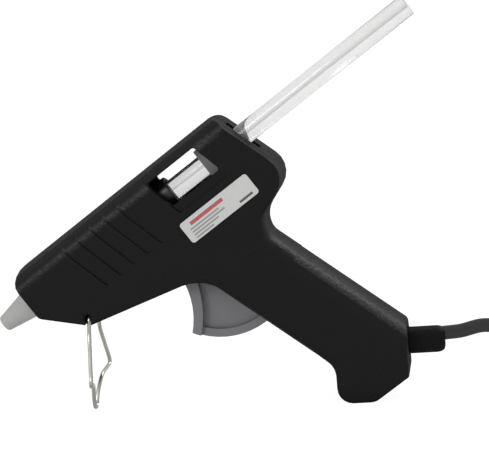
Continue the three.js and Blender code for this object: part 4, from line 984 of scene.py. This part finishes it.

# %% [markdown]
# ## The cord's length
# #
# # The cord above keeps its real length and width, from the strain relief to the plug.

# %% [markdown]
# ## Floor, world and lamps
#
# The photograph's ground is plain white. The floor is white to the camera and still takes the tool's shadow,
# and the world shows white to the camera, to gloss and through clear pieces, but lights the tool at a plain
# level. Two soft lamps add the sheen. One stands in front on the left, for the barrel's shoulder and the flank.
# The other hangs above and behind on the right, for the round back of the grip.

# %% World
def studio(level):
    """White to the camera, to gloss and through clear pieces, and a plain level of light on the object."""
    scene = bpy.context.scene
    scene.view_settings.view_transform = "Standard"
    world = bpy.data.worlds.new("studio")
    scene.world = world
    world.use_nodes = True
    tree = world.node_tree
    tree.nodes.clear()
    path = tree.nodes.new("ShaderNodeLightPath")
    plain = tree.nodes.new("ShaderNodeBackground")
    plain.inputs["Strength"].default_value = level
    white = tree.nodes.new("ShaderNodeBackground")
    white.inputs["Strength"].default_value = 1.0
    for background in (plain, white):
        background.inputs["Color"].default_value = (1, 1, 1, 1)
    seen = path.outputs["Is Camera Ray"]
    for ray in ("Is Transmission Ray", "Is Glossy Ray"):
        either = tree.nodes.new("ShaderNodeMath")
        either.operation = "MAXIMUM"
        tree.links.new(seen, either.inputs[0])
        tree.links.new(path.outputs[ray], either.inputs[1])
        seen = either.outputs[0]
    mix = tree.nodes.new("ShaderNodeMixShader")
    out = tree.nodes.new("ShaderNodeOutputWorld")
    tree.links.new(seen, mix.inputs[0])
    tree.links.new(plain.outputs[0], mix.inputs[1])
    tree.links.new(white.outputs[0], mix.inputs[2])
    tree.links.new(mix.outputs[0], out.inputs[0])


world_level = 0.6
studio(world_level)
print("world level:", world_level)

# %% Lamps
def lamp(name, place, aim, size, watts):
    data = bpy.data.lights.new(name, "AREA")
    data.shape = "RECTANGLE"
    data.size, data.size_y = size
    data.energy = watts
    light = bpy.data.objects.new(name, data)
    bpy.context.scene.collection.objects.link(light)
    place, aim = Vector(place), Vector(aim)
    light.matrix_world = Matrix.Translation(place) @ (aim - place).to_track_quat("-Z", "Y").to_matrix().to_4x4()


tool_middle = (0, 0, 0.05)
lamp("left_soft", (-0.45, -0.68, 0.41), tool_middle, size=(0.35, 0.35), watts=2.0)
lamp("back_soft", (0.52, 0.26, 0.7), tool_middle, size=(0.35, 0.45), watts=3.6)
print("lamps:", len(bpy.data.lights))

# %% [markdown]
# The floor shows white to the camera wherever light reaches it. Most of that white is its own glow, seen by the
# camera alone, and the rest is real light, so the object's shadow stays as a faint grey.

# %% Floor
def floor(glow_share, glow_strength):
    shape = bmesh.new()
    bmesh.ops.create_grid(shape, x_segments=1, y_segments=1, size=floor_size)
    mesh = bpy.data.meshes.new("floor")
    shape.to_mesh(mesh)
    shape.free()
    ground = bpy.data.objects.new("floor", mesh)
    bpy.context.scene.collection.objects.link(ground)
    finish = Finish("floor_white", roughness=0.9, specular_ior_level=0.0)
    finish.set("Base Color", (0.9, 0.9, 0.9))
    seen = finish.value(finish.node("ShaderNodeLightPath").outputs["Is Camera Ray"])
    glow = finish.node("ShaderNodeEmission", None, {"Color": (1, 1, 1, 1), "Strength": glow_strength})
    mix = finish.node("ShaderNodeMixShader", None, {0: seen * glow_share})
    out = finish.tree.nodes["Material Output"]
    finish.tree.links.new(finish.shader.outputs[0], mix.inputs[1])
    finish.tree.links.new(glow.outputs[0], mix.inputs[2])
    finish.tree.links.new(mix.outputs[0], out.inputs[0])
    mesh.materials.append(finish.material)


floor_size = 3.0
floor(glow_share=0.82, glow_strength=1.14)
print("floor:", 2 * floor_size, "m wide")
